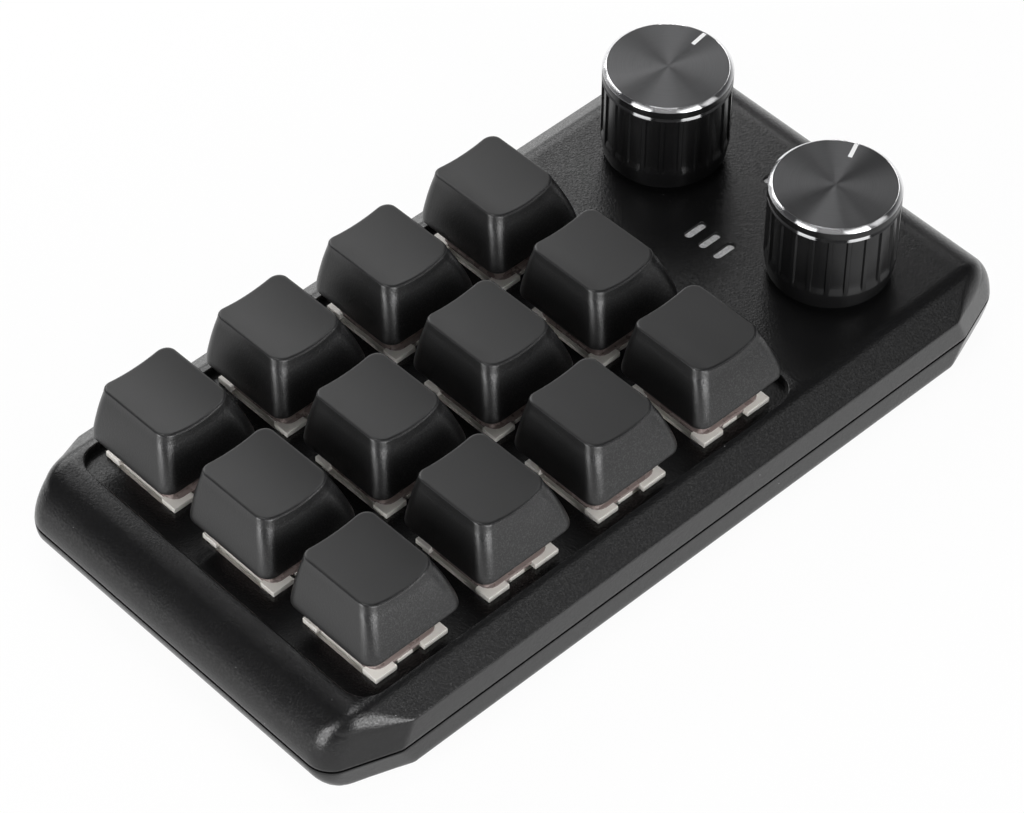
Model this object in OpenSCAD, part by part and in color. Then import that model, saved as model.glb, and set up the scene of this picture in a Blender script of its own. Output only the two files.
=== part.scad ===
// Macro keypad with twelve mechanical keys and two push-and-turn knobs.
// Millimetres. +X runs towards the knobs, +Y to the back edge, +Z up.
// The origin is on the table, under the middle of the case.

/* [Case] */
// Length of the case, end to end
case_l = 140; // [136:1:175]
// Width of the case, front edge to back edge
case_w = 73.6; // [73:0.2:95]
// Thickness of the side and end walls
wall = 2; // [1.6:0.1:2.4]
// Thickness of the bottom shell's floor
floor_t = 2; // [1.6:0.1:2.6]
// Thickness of the top face around the knobs
top_t = 1.65; // [1.3:0.05:2]
// Height of the parting line above the underside
seam_h = 5; // [4.8:0.1:5.6]
// Gap that shows along the parting line
seam_gap = 0.3; // [0.1:0.05:0.5]
// Height that the locating lip stands above the parting line
lip_h = 1.5; // [1:0.1:2]
// Radius that rolls the top face into the short ends
end_r = 8; // [5:0.5:8]
// Radius that rolls the underside into the short ends
low_r = 4.6; // [2.5:0.1:4.6]
// Radius along the long bottom edges
edge_r = 0.8; // [0.3:0.1:1.2]
// Width of the slope along each long edge
slope_w = 4.6; // [3:0.1:4.6]
// Height that each slope drops
slope_drop = 3.55; // [2:0.05:4]
// Length of the angled stretch at each end of a long edge
taper_l = 11.4; // [6:0.2:16]
// Depth of the angled stretch
taper_w = 4.1; // [2:0.1:6]
// Corner radius seen from above
corner_r = 4.5; // [3:0.5:8]

/* [Keys] */
// Distance from one key to the next
key_pitch = 21.8; // [20.5:0.1:22.4]
// Width of a keycap at its skirt
cap_base = 18.1; // [16:0.1:18.4]
// Width of a keycap at its top
cap_top = 12.6; // [11:0.1:13]
// Height of a keycap at its back edge
cap_h_back = 8.6; // [8:0.05:9.5]
// Height of a keycap at its front edge
cap_h_front = 8.85; // [8:0.05:9.5]
// Distance that the front face leans in
cap_front_in = 3.3; // [2:0.05:4]
// Distance that the back face leans in
cap_back_in = 0.4; // [0.2:0.05:2]
// Wall of a keycap
cap_wall = 1.3; // [1:0.1:1.5]
// Depth of the dish in a keycap's top
dish_d = 0.7; // [0.3:0.05:1]
// Travel of a key
key_travel = 4; // [3:0.1:4]
// Gap between a fully pressed keycap and the switch's flange
cap_gap = 0.55; // [0.5:0.05:1.5]

/* [Key field] */
// Distance from the left end of the case to the recess
field_left = 8.3; // [8:0.1:12]
// Depth of the recess around the keys
field_d = 1.65; // [0.8:0.05:2]
// Gap from the left skirts to the recess wall
field_gap_left = 2.55; // [1:0.05:4]
// Gap from the right skirts to the recess wall
field_gap_right = 1.75; // [1:0.05:4]
// Gap from the front skirts to the recess wall
field_gap_front = 1.15; // [0.5:0.05:1.6]
// Gap from the back skirts to the recess wall
field_gap_back = 0.45; // [0.35:0.05:1.6]
// Corner radius of the recess
field_r = 4; // [1:0.5:5]
// Thickness of the recess floor, which holds the switches
plate_t = 1.5; // [1.2:0.1:1.8]

/* [Switches] */
// Width of the square hole for a switch
sw_hole = 14; // [13.9:0.05:14.2]
// Gap between a switch and its hole, each side
sw_gap = 0.1; // [0.05:0.05:0.2]
// Front to back size of the flange
flange_y = 15.6; // [15.2:0.1:16]
// Thickness of the flange
flange_t = 1; // [0.8:0.1:1.2]
// Depth of a switch below the recess floor
sw_depth = 5; // [5:0.1:5.4]
// Height of a switch's housing above the recess floor
sw_top = 6.6; // [6.4:0.1:6.6]
// Diameter of the spigot under a switch
spigot_d = 4; // [3.6:0.1:4.2]
// Diameter of the guide pin under the stem
guide_d = 1.9; // [1.6:0.1:2]
// Running clearance of the guide pin, all round
guide_gap = 0.05; // [0.03:0.01:0.08]
// Turns of a return spring
spring_turns = 6; // [4:1:8]
// Wire diameter of a return spring
spring_wire = 0.26; // [0.2:0.02:0.3]

/* [Board] */
// Thickness of the circuit board
board_t = 1.6; // [1.2:0.2:1.6]
// Space under the circuit board
board_under = 3.4; // [3.3:0.1:5]
// Distance from each end of the case to the board
board_end = 12; // [12:0.5:16]
// Distance from each long edge of the case to the board
board_side = 4.8; // [4:0.1:5]

/* [Knobs] */
// Diameter of a knob
knob_d = 20.4; // [18:0.2:22]
// Height of a knob
knob_h = 17; // [16.4:0.1:20]
// Distance between the two knobs
knob_pitch = 35.6; // [26:0.1:38]
// Distance of the knobs' middle behind the middle of the case
knob_back = 0.2; // [-1:0.1:1]
// Distance from the right end of the case to the knobs' axes
knob_end = 22.6; // [21:0.1:25]
// Gap under a knob
knob_gap = 1.35; // [1:0.05:2]
// Flutes round a knob
flutes = 22; // [16:1:28]
// Width of a flute
flute_w = 2.4; // [1.2:0.1:2.4]
// Depth of a flute
flute_d = 0.3; // [0.2:0.05:0.5]
// Angle of the first knob's pointer from +X
pointer_a1 = 8; // [-180:1:180]
// Angle of the second knob's pointer from +X
pointer_a2 = 24; // [-180:1:180]

/* [Encoders] */
// Width of an encoder's housing
enc_w = 12; // [11:0.1:12.5]
// Diameter of the threaded bush
bush_d = 7; // [6.8:0.1:8]
// Diameter of the shaft
shaft_d = 6; // [5.5:0.1:6]
// Running clearance of the shaft in the bush, all round
shaft_gap = 0.05; // [0.03:0.01:0.08]
// Depth of the flat on the shaft
flat_d = 1.5; // [1:0.1:1.8]
// Travel of a knob when it is pushed
push_travel = 0.5; // [0.3:0.05:0.6]

/* [Feet, screws and socket] */
// Height that the feet stand below the underside
foot_h = 1.5; // [1:0.1:3]
// Diameter of a foot
foot_d = 10; // [6:0.5:12]
// Shank diameter of a case screw
screw_d = 2.2; // [2:0.1:2.4]
// Head diameter of a case screw
head_d = 4.2; // [4:0.1:4.4]
// Distance of the outer screws from the short ends
screw_end = 8.5; // [8.4:0.1:8.6]
// Distance of the cable socket from the knobs' axes
usb_from_knobs = 16.4; // [14:0.2:20]

/* [Indicator slots] */
// Length of a slot
slot_l = 4.2; // [3:0.1:5]
// Width of a slot
slot_w = 1.4; // [0.8:0.1:1.6]
// Distance from one slot to the next
slot_pitch = 3.1; // [2.4:0.1:3.4]
// Distance from the knobs' axes to the middle of a slot, each side
slot_from_knobs = 8.75; // [8:0.05:9.5]
// Distance of the middle slots in front of the middle of the case
slot_front = 0.7; // [-1:0.1:1]
// Depth of the lens below the top face
lens_drop = 0.5; // [0.3:0.1:0.9]

/* [Hidden] */
$fn = 64;
eps = 0.02;
ROWS = ["a", "b", "c"];
COLS = [1, 2, 3, 4];
KEYS = [for (r = [0 : 2], c = [0 : 3]) [r, c]];
function key_name(kind, k) = str(kind, "_", ROWS[k[0]], COLS[k[1]]);

// heights
under_z = foot_h;
floor_z = under_z + floor_t;
board_z = floor_z + board_under;
board_top = board_z + board_t;
plate_z = board_top + sw_depth;
top_z = plate_z + field_d;
seam_z = under_z + seam_h;
ridge_z = top_z - slope_drop;
ceiling_z = top_z - top_t;
half_l = case_l / 2;
half_w = case_w / 2;
lip_t = 0.75;
lip_gap = 0.15;
lip_root = 1.2;

// key field, seen from above
field_x0 = field_left - half_l;
field_x1 = field_x0 + field_gap_left + 3 * key_pitch + cap_base + field_gap_right;
keys_x = field_x0 + field_gap_left + cap_base / 2 + 1.5 * key_pitch;
field_y0 = -key_pitch - cap_base / 2 - field_gap_front;
field_y1 = key_pitch + cap_base / 2 + field_gap_back;
tray_wall = 1.5;
function key_x(c) = keys_x + (c - 1.5) * key_pitch;
function key_y(r) = (1 - r) * key_pitch;

// switch, above and below the recess floor
body_w = sw_hole - 2 * sw_gap;
housing_z = plate_z + flange_t;
housing_top = plate_z + sw_top;
housing_wall = 1.2;
cup_half = body_w / 2 - housing_wall;
cup_floor = 1.2;
cup_z = board_top + cup_floor;
spigot_h = 3;
spigot_floor = 1;
guide_tube_d = 3.6;
guide_tube_h = 2.5;
cap_z = housing_z + key_travel + cap_gap;
upper_in = 0.3;
upper_lean = 1.4;
upper_wall = 1;
// clip notches in the flange: where each starts and how wide it is
clip_notches = [[-2.8, 0.8], [0.9, 1.5]];
notch_d = 0.8;
side_step = 0.45;
side_half = 4.9;
side_z = 0.3;

// stem at rest
shoulder_z = housing_top;
slider = [7.2, 6, 5.2];
slider_z = shoulder_z - slider[2];
slider_gap = 0.35;
hollow_d = 4.8;
slider_roof = 1.1;
hollow_top = shoulder_z - slider_roof;
cross_l = 4;
cross_t = 1.16;
cross_h = 3.6;
cross_gap = 0.03;
post_d = 5.4;
post_gap = 0.3;
post_z = shoulder_z + post_gap;
cap_roof = 2.1;
socket_over = 0.2;
pin_drop = 3.3;
contact_spots = [[-4.3, 2.54], [2.54, 4.9]];
contact_d = 1.1;
leaf_t = 0.3;
leaf_w = 3;
leaf_h = 4;

// encoders and knobs
knobs_x = half_l - knob_end;
knob_ys = [knob_back + knob_pitch / 2, knob_back - knob_pitch / 2];
knob_z = top_z + knob_gap;
knob_r = knob_d / 2;
knob_wall = 2.2;
bore_r = knob_r - knob_wall;
knob_top_t = 2;
insert_up = 2.7;
insert_z = knob_z + insert_up;
insert_top = knob_z + knob_h - knob_top_t;
insert_gap = 0.03;
insert_roof = 1.5;
shaft_top = insert_top - insert_roof;
flat_up = 2.5;
flat_z = insert_z + flat_up;
enc_wall = 0.8;
enc_base_t = 0.6;
enc_cover_t = 0.5;
enc_room_r = enc_w / 2 - enc_wall;
plunger_d = 4.4;
plunger_t = 1;
plunger_gap = 0.3;
shaft_foot = board_top + enc_base_t + push_travel + plunger_gap + plunger_t;
rotor_up = 0.3;
rotor_z = shaft_foot + rotor_up;
rotor_t = 1.2;
rotor_gap = 0.4;
rotor_r = enc_room_r - rotor_gap;
washer_d = 11;
washer_t = 0.5;
nut_flats = 10;
nut_t = 2;
bush_out = 0.45;
bush_top = top_z + washer_t + nut_t + bush_out;
bush_root = 1;
clear = 0.1;
// each pin: which side it is on, as a turn, and its place along that side
enc_pins = [[180, -2.5], [180, 0], [180, 2.5], [0, -2.5], [0, 2.5]];
enc_pin_d = 0.9;
enc_pin_out = 1.2;
enc_lead = [0.8, 0.5];

// knob outline, from the bottom up
collar_h = 3;
collar_in = 0.5;
chamfer_in = 0.65;
chamfer_h = 0.55;
band_h = 0.8;
groove_d = 0.45;
flute_land = 0.15;
pointer_w = 0.9;
pointer_r0 = 6.2;
pointer_d = 0.2;

// screws, posts and feet
boss_r = 2.8;
head_t = 1.5;
head_gap = 0.15;
screw_side = 10.8;
mid_screw_side = 12.8;
usb_x = knobs_x - usb_from_knobs;
screw_x = half_l - screw_end;
screw_y = half_w - screw_side;
mid_screw_y = half_w - mid_screw_side;
SCREWS = [
  for (sx = [-1, 1], sy = [-1, 1]) [sx * screw_x, sy * screw_y],
  for (sy = [-1, 1]) [usb_x, sy * mid_screw_y]
];
screw_down = 3;
screw_top = ceiling_z - screw_down;
screw_end_gap = 0.5;
drive = [2.2, 0.5, 0.8];
boss_root = top_t / 3;
boss_gap = 0.4;
post_r = 2;
POSTS = [
  for (c = [0.5, 2.5], r = [0.5, 1.5]) [key_x(c), key_y(r)],
  [knobs_x, 0]
];
foot_inset_x = 20;
foot_inset_y = 9.8;
foot_seat = 0.2;
FEET = [
  for (sx = [-1, 1], sy = [-1, 1])
    [sx * (half_l - foot_inset_x), sy * (half_w - foot_inset_y)]
];

// cable socket
usb_size = [8.94, 7.35, 3.2];
usb_wall = 0.3;
usb_in = 0.3;
usb_y = half_w - usb_in;
usb_z = board_z - usb_size[2] / 2;
usb_gap = 0.3;
tongue_w = 6.7;
tongue_t = 0.7;
tongue_in = 1.4;
socket_back = 1;

// board parts and lenses
board_r = 1.5;
chip = [7, 7, 1];
crystal = [3.2, 2.5, 0.8];
crystal_y = 6;
diode = [1.6, 2.7, 1];
diode_x = -9.6;
lamp = [2, 1.25, 0.7];
lens_rim = 0.6;
lens_base_t = 0.8;

black = "#1b1b1d";
dark = "#2a2a2d";
cream = "#e6e0d2";
smoke = "#8a6f68";
steel = "#b8b8ba";
green = "#1f4a32";

// ---------- shared outlines ----------

taper_n = norm([taper_w, taper_l]);

// The angled line of the outline, moved in by i: taper_w * x + taper_l * y = taper_c(i)
function taper_c(i) = taper_w * half_l + taper_l * (half_w - taper_w) - i * taper_n;
function kink_x(i) = (taper_c(i) - taper_l * (half_w - i)) / taper_w;
function corner_centre(i) = let (r = corner_r - i, x = half_l - i - r)
  [x, (taper_c(i) - r * taper_n - taper_w * x) / taper_l];

// Outline of the case seen from above, moved in by i
module plan_outline(i = 0) {
  r = corner_r - i;
  c = corner_centre(i);
  touch = [c[0] + r * taper_w / taper_n, c[1] + r * taper_l / taper_n];
  quarter = [[kink_x(i), half_w - i], touch, [half_l - i, c[1]]];
  ring = [[1, 1], [1, -1], [-1, -1], [-1, 1]];
  order = [[0, 1, 2], [2, 1, 0], [0, 1, 2], [2, 1, 0]];
  polygon([
    for (q = [0 : 3], n = order[q])
      [quarter[n][0] * ring[q][0], quarter[n][1] * ring[q][1]]
  ]);
  for (sx = [-1, 1], sy = [-1, 1])
    translate([sx * c[0], sy * c[1]]) circle(r);
}

// Outline seen from the front: x across, y up, with rolled ends
module end_outline(half, z0, z1, r_top, r_low) {
  translate([-half, z0 + r_low]) square([2 * half, z1 - r_top - z0 - r_low]);
  translate([r_top - half, z0 + r_low]) square([2 * (half - r_top), z1 - z0 - r_low]);
  translate([r_low - half, z0]) square([2 * (half - r_low), z1 - r_top - z0]);
  for (s = [-1, 1]) {
    translate([s * (half - r_top), z1 - r_top]) circle(r_top);
    translate([s * (half - r_low), z0 + r_low]) circle(r_low);
  }
}

// Outline seen from the end: x is the case's Y, y is up, with sloping long edges
module side_outline(i, z0, z1, r) {
  half = half_w - i;
  reach = norm([slope_drop, slope_w]);
  c = slope_drop * half_w + slope_w * ridge_z - i * reach;
  y_top = (c - slope_w * z1) / slope_drop;
  z_side = (c - slope_drop * half) / slope_w;
  polygon([
    [-half, z0 + r], [-half, z_side], [-y_top, z1],
    [y_top, z1], [half, z_side], [half, z0 + r]
  ]);
  translate([r - half, z0]) square([2 * (half - r), z_side - z0]);
  if (r > 0)
    for (s = [-1, 1]) translate([s * (half - r), z0 + r]) circle(r);
}

module case_solid() {
  intersection() {
    translate([0, 0, under_z]) linear_extrude(top_z - under_z) plan_outline();
    rotate([90, 0, 0]) linear_extrude(case_w, center = true)
      end_outline(half_l, under_z, top_z, end_r, low_r);
    rotate([90, 0, 90]) linear_extrude(case_l, center = true)
      side_outline(0, under_z, top_z, edge_r);
  }
}

module case_room() {
  intersection() {
    translate([0, 0, floor_z]) linear_extrude(ceiling_z - floor_z) plan_outline(wall);
    rotate([90, 0, 0]) linear_extrude(case_w, center = true)
      end_outline(half_l - wall, floor_z, ceiling_z, end_r - wall, low_r - wall);
    rotate([90, 0, 90]) linear_extrude(case_l, center = true)
      side_outline(wall, floor_z, ceiling_z, 0);
  }
}

// Rectangle with round corners, from one corner to the other
module round_rect(x0, y0, x1, y1, r) {
  translate([x0 + r, y0]) square([x1 - x0 - 2 * r, y1 - y0]);
  translate([x0, y0 + r]) square([x1 - x0, y1 - y0 - 2 * r]);
  for (x = [x0 + r, x1 - r], y = [y0 + r, y1 - r]) translate([x, y]) circle(r);
}

module at_keys() {
  for (k = KEYS) translate([key_x(k[1]), key_y(k[0]), 0]) children();
}

module at_knobs() {
  for (y = knob_ys) translate([knobs_x, y, 0]) children();
}

module at_spots(spots, z) {
  for (p = spots) translate([p[0], p[1], z]) children();
}

// Block that leans in towards its top: front, back and both sides have their own lean
module leaning_block(half, z0, h_front, h_back, side_in, front_in, back_in) {
  tall = max(h_front, h_back);
  side = side_in / tall;
  intersection() {
    rotate([90, 0, 0]) linear_extrude(4 * half, center = true)
      polygon([[-half, z0], [half, z0], [half - side * tall, z0 + tall], [side * tall - half, z0 + tall]]);
    rotate([90, 0, 90]) linear_extrude(4 * half, center = true)
      polygon([[-half, z0], [half, z0], [half - back_in, z0 + h_back], [front_in - half, z0 + h_front]]);
  }
}

module at_slot_rows() {
  for (s = [-1, 1]) translate([knobs_x + s * slot_from_knobs, -slot_front, 0]) children();
}

// Three slots above each other, each side made smaller by the gap
module slot_row(z0, z1, gap = 0) {
  l = slot_l / 2 - gap;
  w = slot_w / 2 - gap;
  for (n = [-1, 0, 1]) translate([0, n * slot_pitch, z0])
    linear_extrude(z1 - z0) round_rect(-l, -w, l, w, w - 0.01);
}

module usb_opening() {
  w = usb_size[0] / 2 + usb_gap;
  h = usb_size[2] / 2 + usb_gap;
  translate([usb_x, half_w + 1, usb_z]) rotate([90, 0, 0])
    linear_extrude(wall + 3) round_rect(-w, -h, w, h, h - 0.01);
}

// ---------- case ----------

module lip_ring(i0, i1) {
  difference() {
    plan_outline(i0);
    plan_outline(i1);
  }
}

module top_shell() {
  lip_room = wall - lip_t - lip_gap;
  color(black) difference() {
    union() {
      difference() {
        intersection() {
          case_solid();
          translate([-case_l, -case_w, seam_z + seam_gap / 2])
            cube([2 * case_l, 2 * case_w, case_l]);
        }
        difference() {
          case_room();
          translate([0, 0, plate_z - plate_t]) linear_extrude(field_d + plate_t)
            round_rect(field_x0 - tray_wall, field_y0 - tray_wall,
              field_x1 + tray_wall, field_y1 + tray_wall, field_r);
        }
        translate([0, 0, seam_z - 1]) linear_extrude(lip_h + 1 + seam_gap)
          lip_ring(lip_room, wall + 1);
      }
      at_spots(SCREWS, seam_z) cylinder(r = boss_r, h = ceiling_z - seam_z + boss_root);
    }
    translate([0, 0, plate_z]) linear_extrude(field_d + 1)
      round_rect(field_x0, field_y0, field_x1, field_y1, field_r);
    at_keys() translate([-sw_hole / 2, -sw_hole / 2, plate_z - plate_t - 1])
      cube([sw_hole, sw_hole, plate_t + 2]);
    at_knobs() translate([0, 0, ceiling_z - 1]) cylinder(d = bush_d + 2 * clear, h = top_t + 2);
    at_slot_rows() slot_row(ceiling_z - 1, top_z + 1);
    usb_opening();
    at_spots(SCREWS, seam_z - 1) cylinder(d = screw_d, h = screw_top - seam_z + 1);
  }
}

module bottom_shell() {
  lip_in = wall - lip_t;
  color(black) difference() {
    union() {
      difference() {
        intersection() {
          case_solid();
          translate([-case_l, -case_w, 0])
            cube([2 * case_l, 2 * case_w, seam_z - seam_gap / 2]);
        }
        case_room();
      }
      translate([0, 0, seam_z - lip_root]) linear_extrude(lip_h + lip_root) lip_ring(lip_in, wall);
      at_spots(SCREWS, floor_z - eps) cylinder(r = boss_r, h = seam_z - floor_z + eps);
      at_spots(POSTS, floor_z - eps) cylinder(r = post_r, h = board_z - floor_z + eps);
    }
    at_spots(SCREWS, under_z - 1) cylinder(d = screw_d + 2 * head_gap, h = seam_z);
    at_spots(SCREWS, under_z - 1) cylinder(d = head_d + 2 * head_gap, h = head_t + head_gap + 1);
    at_spots(FEET, under_z - 1) cylinder(d = foot_d + 2 * clear, h = foot_seat + 1);
    usb_opening();
  }
}

module case_screws() {
  head_z = under_z + head_gap;
  color(steel) at_spots(SCREWS, head_z) difference() {
    union() {
      cylinder(d = head_d, h = head_t);
      cylinder(d = screw_d, h = screw_top - head_z - screw_end_gap);
    }
    for (a = [0, 90])
      rotate(a) translate([-drive[0] / 2, -drive[1] / 2, -1]) cube([drive[0], drive[1], drive[2] + 1]);
  }
}

module rubber_feet() {
  color("#38383a") at_spots(FEET, 0) cylinder(d = foot_d, h = foot_h + foot_seat);
}

module indicator_lenses() {
  size = [slot_l + 2 * lens_rim, 2 * slot_pitch + slot_w + 2 * lens_rim, lens_base_t];
  color("#a9adb0") at_slot_rows() {
    slot_row(ceiling_z - eps, top_z - lens_drop, clear / 2);
    translate([-size[0] / 2, -size[1] / 2, ceiling_z - size[2]]) cube(size);
  }
}

// ---------- board ----------

module circuit_board() {
  color(green) difference() {
    translate([0, 0, board_z]) linear_extrude(board_t)
      round_rect(board_end - half_l, board_side - half_w, half_l - board_end, half_w - board_side, board_r);
    at_keys() {
      translate([0, 0, board_z - 1]) cylinder(d = spigot_d + 2 * clear, h = board_t + 2);
      at_spots(contact_spots, board_z - 1) cylinder(d = contact_d + 2 * clear, h = board_t + 2);
    }
    at_knobs() at_enc_pins() translate([0, 0, board_z - 1])
      cylinder(d = enc_pin_d + 2 * clear, h = board_t + 2);
    at_spots([for (n = [4, 5]) SCREWS[n]], board_z - 1) cylinder(r = boss_r + boss_gap, h = board_t + 2);
  }
}

// Chip, crystal, one diode by each key and one lamp under each slot
module board_parts() {
  color(dark) {
    translate([usb_x - chip[0] / 2, -chip[1] / 2, board_z - chip[2]]) cube(chip);
    translate([usb_x - crystal[0] / 2, crystal_y, board_z - crystal[2]]) cube(crystal);
    at_keys() translate([diode_x, -diode[1] / 2, board_z - diode[2]]) cube(diode);
    at_slot_rows() for (n = [-1, 0, 1])
      translate([-lamp[0] / 2, n * slot_pitch - lamp[1] / 2, board_top]) cube(lamp);
  }
}

module usb_socket() {
  w = usb_size[0] / 2;
  h = usb_size[2] / 2;
  depth = usb_size[1];
  color(steel) translate([usb_x, usb_y, usb_z]) rotate([90, 0, 0]) difference() {
    linear_extrude(depth) round_rect(-w, -h, w, h, h - 0.01);
    difference() {
      translate([0, 0, -1]) linear_extrude(depth - socket_back + 1)
        round_rect(usb_wall - w, usb_wall - h, w - usb_wall, h - usb_wall, h - usb_wall - 0.01);
      translate([-tongue_w / 2, -tongue_t / 2, tongue_in]) cube([tongue_w, tongue_t, depth]);
    }
  }
}

// ---------- switches ----------

module lower_housing() {
  half = body_w / 2;
  fy = flange_y / 2;
  difference() {
    union() {
      translate([-half, -half, board_top]) cube([body_w, body_w, housing_z - board_top]);
      translate([-half, -fy, plate_z]) cube([body_w, flange_y, flange_t]);
      translate([0, 0, board_top - spigot_h]) cylinder(d = spigot_d, h = spigot_h + 1);
    }
    difference() {
      translate([-cup_half, -cup_half, cup_z]) cube([2 * cup_half, 2 * cup_half, sw_depth + 2]);
      cylinder(d = guide_tube_d, h = cup_z + guide_tube_h);
    }
    translate([0, 0, board_top - spigot_h + spigot_floor]) cylinder(d = guide_d + 2 * guide_gap, h = 20);
    at_spots(contact_spots, board_top - 1) cylinder(d = contact_d + 2 * clear, h = cup_floor + 2);
    for (s = [-1, 1], x = clip_notches)
      translate([x[0], s * (fy - notch_d / 2) - notch_d / 2 - eps, plate_z - eps])
        cube([x[1], notch_d + 2 * eps, flange_t + 1]);
    // the sides stand back between the corner tabs
    for (s = [-1, 1])
      translate([s * half - side_step, -side_half, plate_z + side_z])
        cube([2 * side_step, 2 * side_half, flange_t + 1]);
  }
}

module switch_lower_housings() {
  color(cream) at_keys() lower_housing();
}

module upper_housing() {
  h = housing_top - housing_z;
  slot = [slider[0] + 2 * slider_gap, slider[1] + 2 * slider_gap];
  lean = upper_lean * (h - upper_wall) / h;
  difference() {
    leaning_block(body_w / 2 - upper_in, housing_z, h, h, upper_lean, upper_lean, upper_lean);
    leaning_block(cup_half, housing_z - eps, h - upper_wall, h - upper_wall, lean, lean, lean);
    translate([-slot[0] / 2, -slot[1] / 2, housing_z]) cube([slot[0], slot[1], h + 1]);
  }
}

module switch_upper_housings() {
  color(smoke, 0.7) at_keys() upper_housing();
}

module switch_contacts() {
  foot = board_top - spigot_h;
  color("#c9a24a") at_keys() {
    at_spots(contact_spots, foot) cylinder(d = contact_d, h = cup_z - foot);
    translate([contact_spots[0][0] - leaf_t / 2, contact_spots[0][1] - leaf_w / 2, cup_z])
      cube([leaf_t, leaf_w, leaf_h]);
    translate([contact_spots[1][0] - leaf_w / 2, contact_spots[1][1] - leaf_t / 2, cup_z])
      cube([leaf_w, leaf_t, leaf_h]);
  }
}

module cross(l, t, h) {
  translate([-l / 2, -t / 2, 0]) cube([l, t, h]);
  translate([-t / 2, -l / 2, 0]) cube([t, l, h]);
}

module key_stem() {
  color("#3f6fb5") difference() {
    union() {
      translate([-slider[0] / 2, -slider[1] / 2, slider_z]) cube(slider);
      translate([0, 0, shoulder_z - eps]) cross(cross_l, cross_t, cross_h + eps);
      translate([0, 0, slider_z - pin_drop]) cylinder(d = guide_d, h = pin_drop + eps);
    }
    difference() {
      translate([0, 0, slider_z - 1]) cylinder(d = hollow_d, h = hollow_top - slider_z + 1);
      translate([0, 0, slider_z - 2 * pin_drop]) cylinder(d = guide_d, h = 20);
    }
  }
}

module keycap() {
  half = cap_base / 2;
  tall = max(cap_h_front, cap_h_back);
  side_in = (cap_base - cap_top) / 2;
  room = min(cap_h_front, cap_h_back) - cap_roof;
  dish_r = (pow(cap_top / 2, 2) + pow(dish_d, 2)) / (2 * dish_d);
  tilt = atan2(cap_h_front - cap_h_back, cap_base - cap_front_in - cap_back_in);
  color(dark) difference() {
    leaning_block(half, cap_z, cap_h_front, cap_h_back, side_in, cap_front_in, cap_back_in);
    difference() {
      leaning_block(half - cap_wall, cap_z - eps, room, room,
        side_in * room / tall, cap_front_in * room / tall, cap_back_in * room / tall);
      cylinder(d = post_d, h = cap_z + tall);
    }
    cylinder(d = post_d + 1, h = post_z);
    translate([0, 0, post_z - 1])
      cross(cross_l + 2 * cross_gap, cross_t + 2 * cross_gap, cross_h + socket_over + 1);
    translate([0, 0, cap_z + (cap_h_front + cap_h_back) / 2 - dish_d]) rotate([-tilt, 0, 0])
      translate([0, 0, dish_r]) rotate([90, 0, 0])
        cylinder(r = dish_r, h = 3 * half, center = true, $fn = 128);
  }
}

// Coil spring as one swept wire, from the cup's floor to the stem
module key_spring() {
  z0 = cup_z + spring_wire / 2 + 0.02;
  z1 = hollow_top - spring_wire / 2 - 0.02;
  coil_r = (hollow_d + guide_tube_d) / 4;
  steps = 12;
  sides = 5;
  rings = spring_turns * steps;
  r = spring_wire / 2;
  points = [
    for (n = [0 : rings], s = [0 : sides - 1])
      let (a = 360 * n / steps, b = 360 * s / sides, d = coil_r + r * cos(b))
      [d * cos(a), d * sin(a), z0 + (z1 - z0) * n / rings + r * sin(b)]
  ];
  skin = [
    for (n = [0 : rings - 1], s = [0 : sides - 1])
      let (a = n * sides + s, b = n * sides + (s + 1) % sides)
      [a, a + sides, b + sides, b]
  ];
  first = [for (s = [0 : sides - 1]) s];
  last = [for (s = [sides - 1 : -1 : 0]) rings * sides + s];
  color(steel) polyhedron(points, concat(skin, [first, last]), convexity = 10);
}

// ---------- encoders ----------

module at_enc_pins() {
  for (p = enc_pins) rotate(p[0]) translate([p[1], enc_w / 2 + enc_pin_out, 0]) children();
}

module encoder_housing(n) {
  color(steel) translate([knobs_x, knob_ys[n], 0]) difference() {
    union() {
      translate([-enc_w / 2, -enc_w / 2, board_top]) cube([enc_w, enc_w, ceiling_z - board_top]);
      translate([0, 0, board_top + bush_root]) cylinder(d = bush_d, h = bush_top - board_top - bush_root);
      at_enc_pins() {
        translate([0, 0, board_z - 1]) cylinder(d = enc_pin_d, h = board_t + 1.5);
        translate([-enc_lead[0] / 2, -enc_pin_out - 1, board_top])
          cube([enc_lead[0], enc_pin_out + 1, enc_lead[1]]);
      }
    }
    translate([0, 0, board_top + enc_base_t])
      cylinder(r = enc_room_r, h = ceiling_z - board_top - enc_base_t - enc_cover_t);
    translate([0, 0, board_top + enc_base_t]) cylinder(d = shaft_d + 2 * shaft_gap, h = 30);
  }
}

module encoder_shaft(n) {
  color(steel) translate([knobs_x, knob_ys[n], 0]) difference() {
    union() {
      translate([0, 0, shaft_foot]) cylinder(d = shaft_d, h = shaft_top - shaft_foot);
      translate([0, 0, rotor_z]) cylinder(r = rotor_r, h = rotor_t);
    }
    translate([shaft_d / 2 - flat_d, -shaft_d, flat_z]) cube([shaft_d, 2 * shaft_d, 40]);
  }
}

module encoder_plunger(n) {
  color(cream) translate([knobs_x, knob_ys[n], shaft_foot - plunger_t])
    cylinder(d = plunger_d, h = plunger_t);
}

module encoder_washers() {
  color(steel) at_knobs() translate([0, 0, top_z]) difference() {
    cylinder(d = washer_d, h = washer_t);
    translate([0, 0, -1]) cylinder(d = bush_d + clear, h = washer_t + 2);
  }
}

module encoder_nuts() {
  color(steel) at_knobs() translate([0, 0, top_z + washer_t]) difference() {
    cylinder(d = nut_flats / cos(30), h = nut_t, $fn = 6);
    translate([0, 0, -1]) cylinder(d = bush_d + clear, h = nut_t + 2);
  }
}

// ---------- knobs ----------

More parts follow.
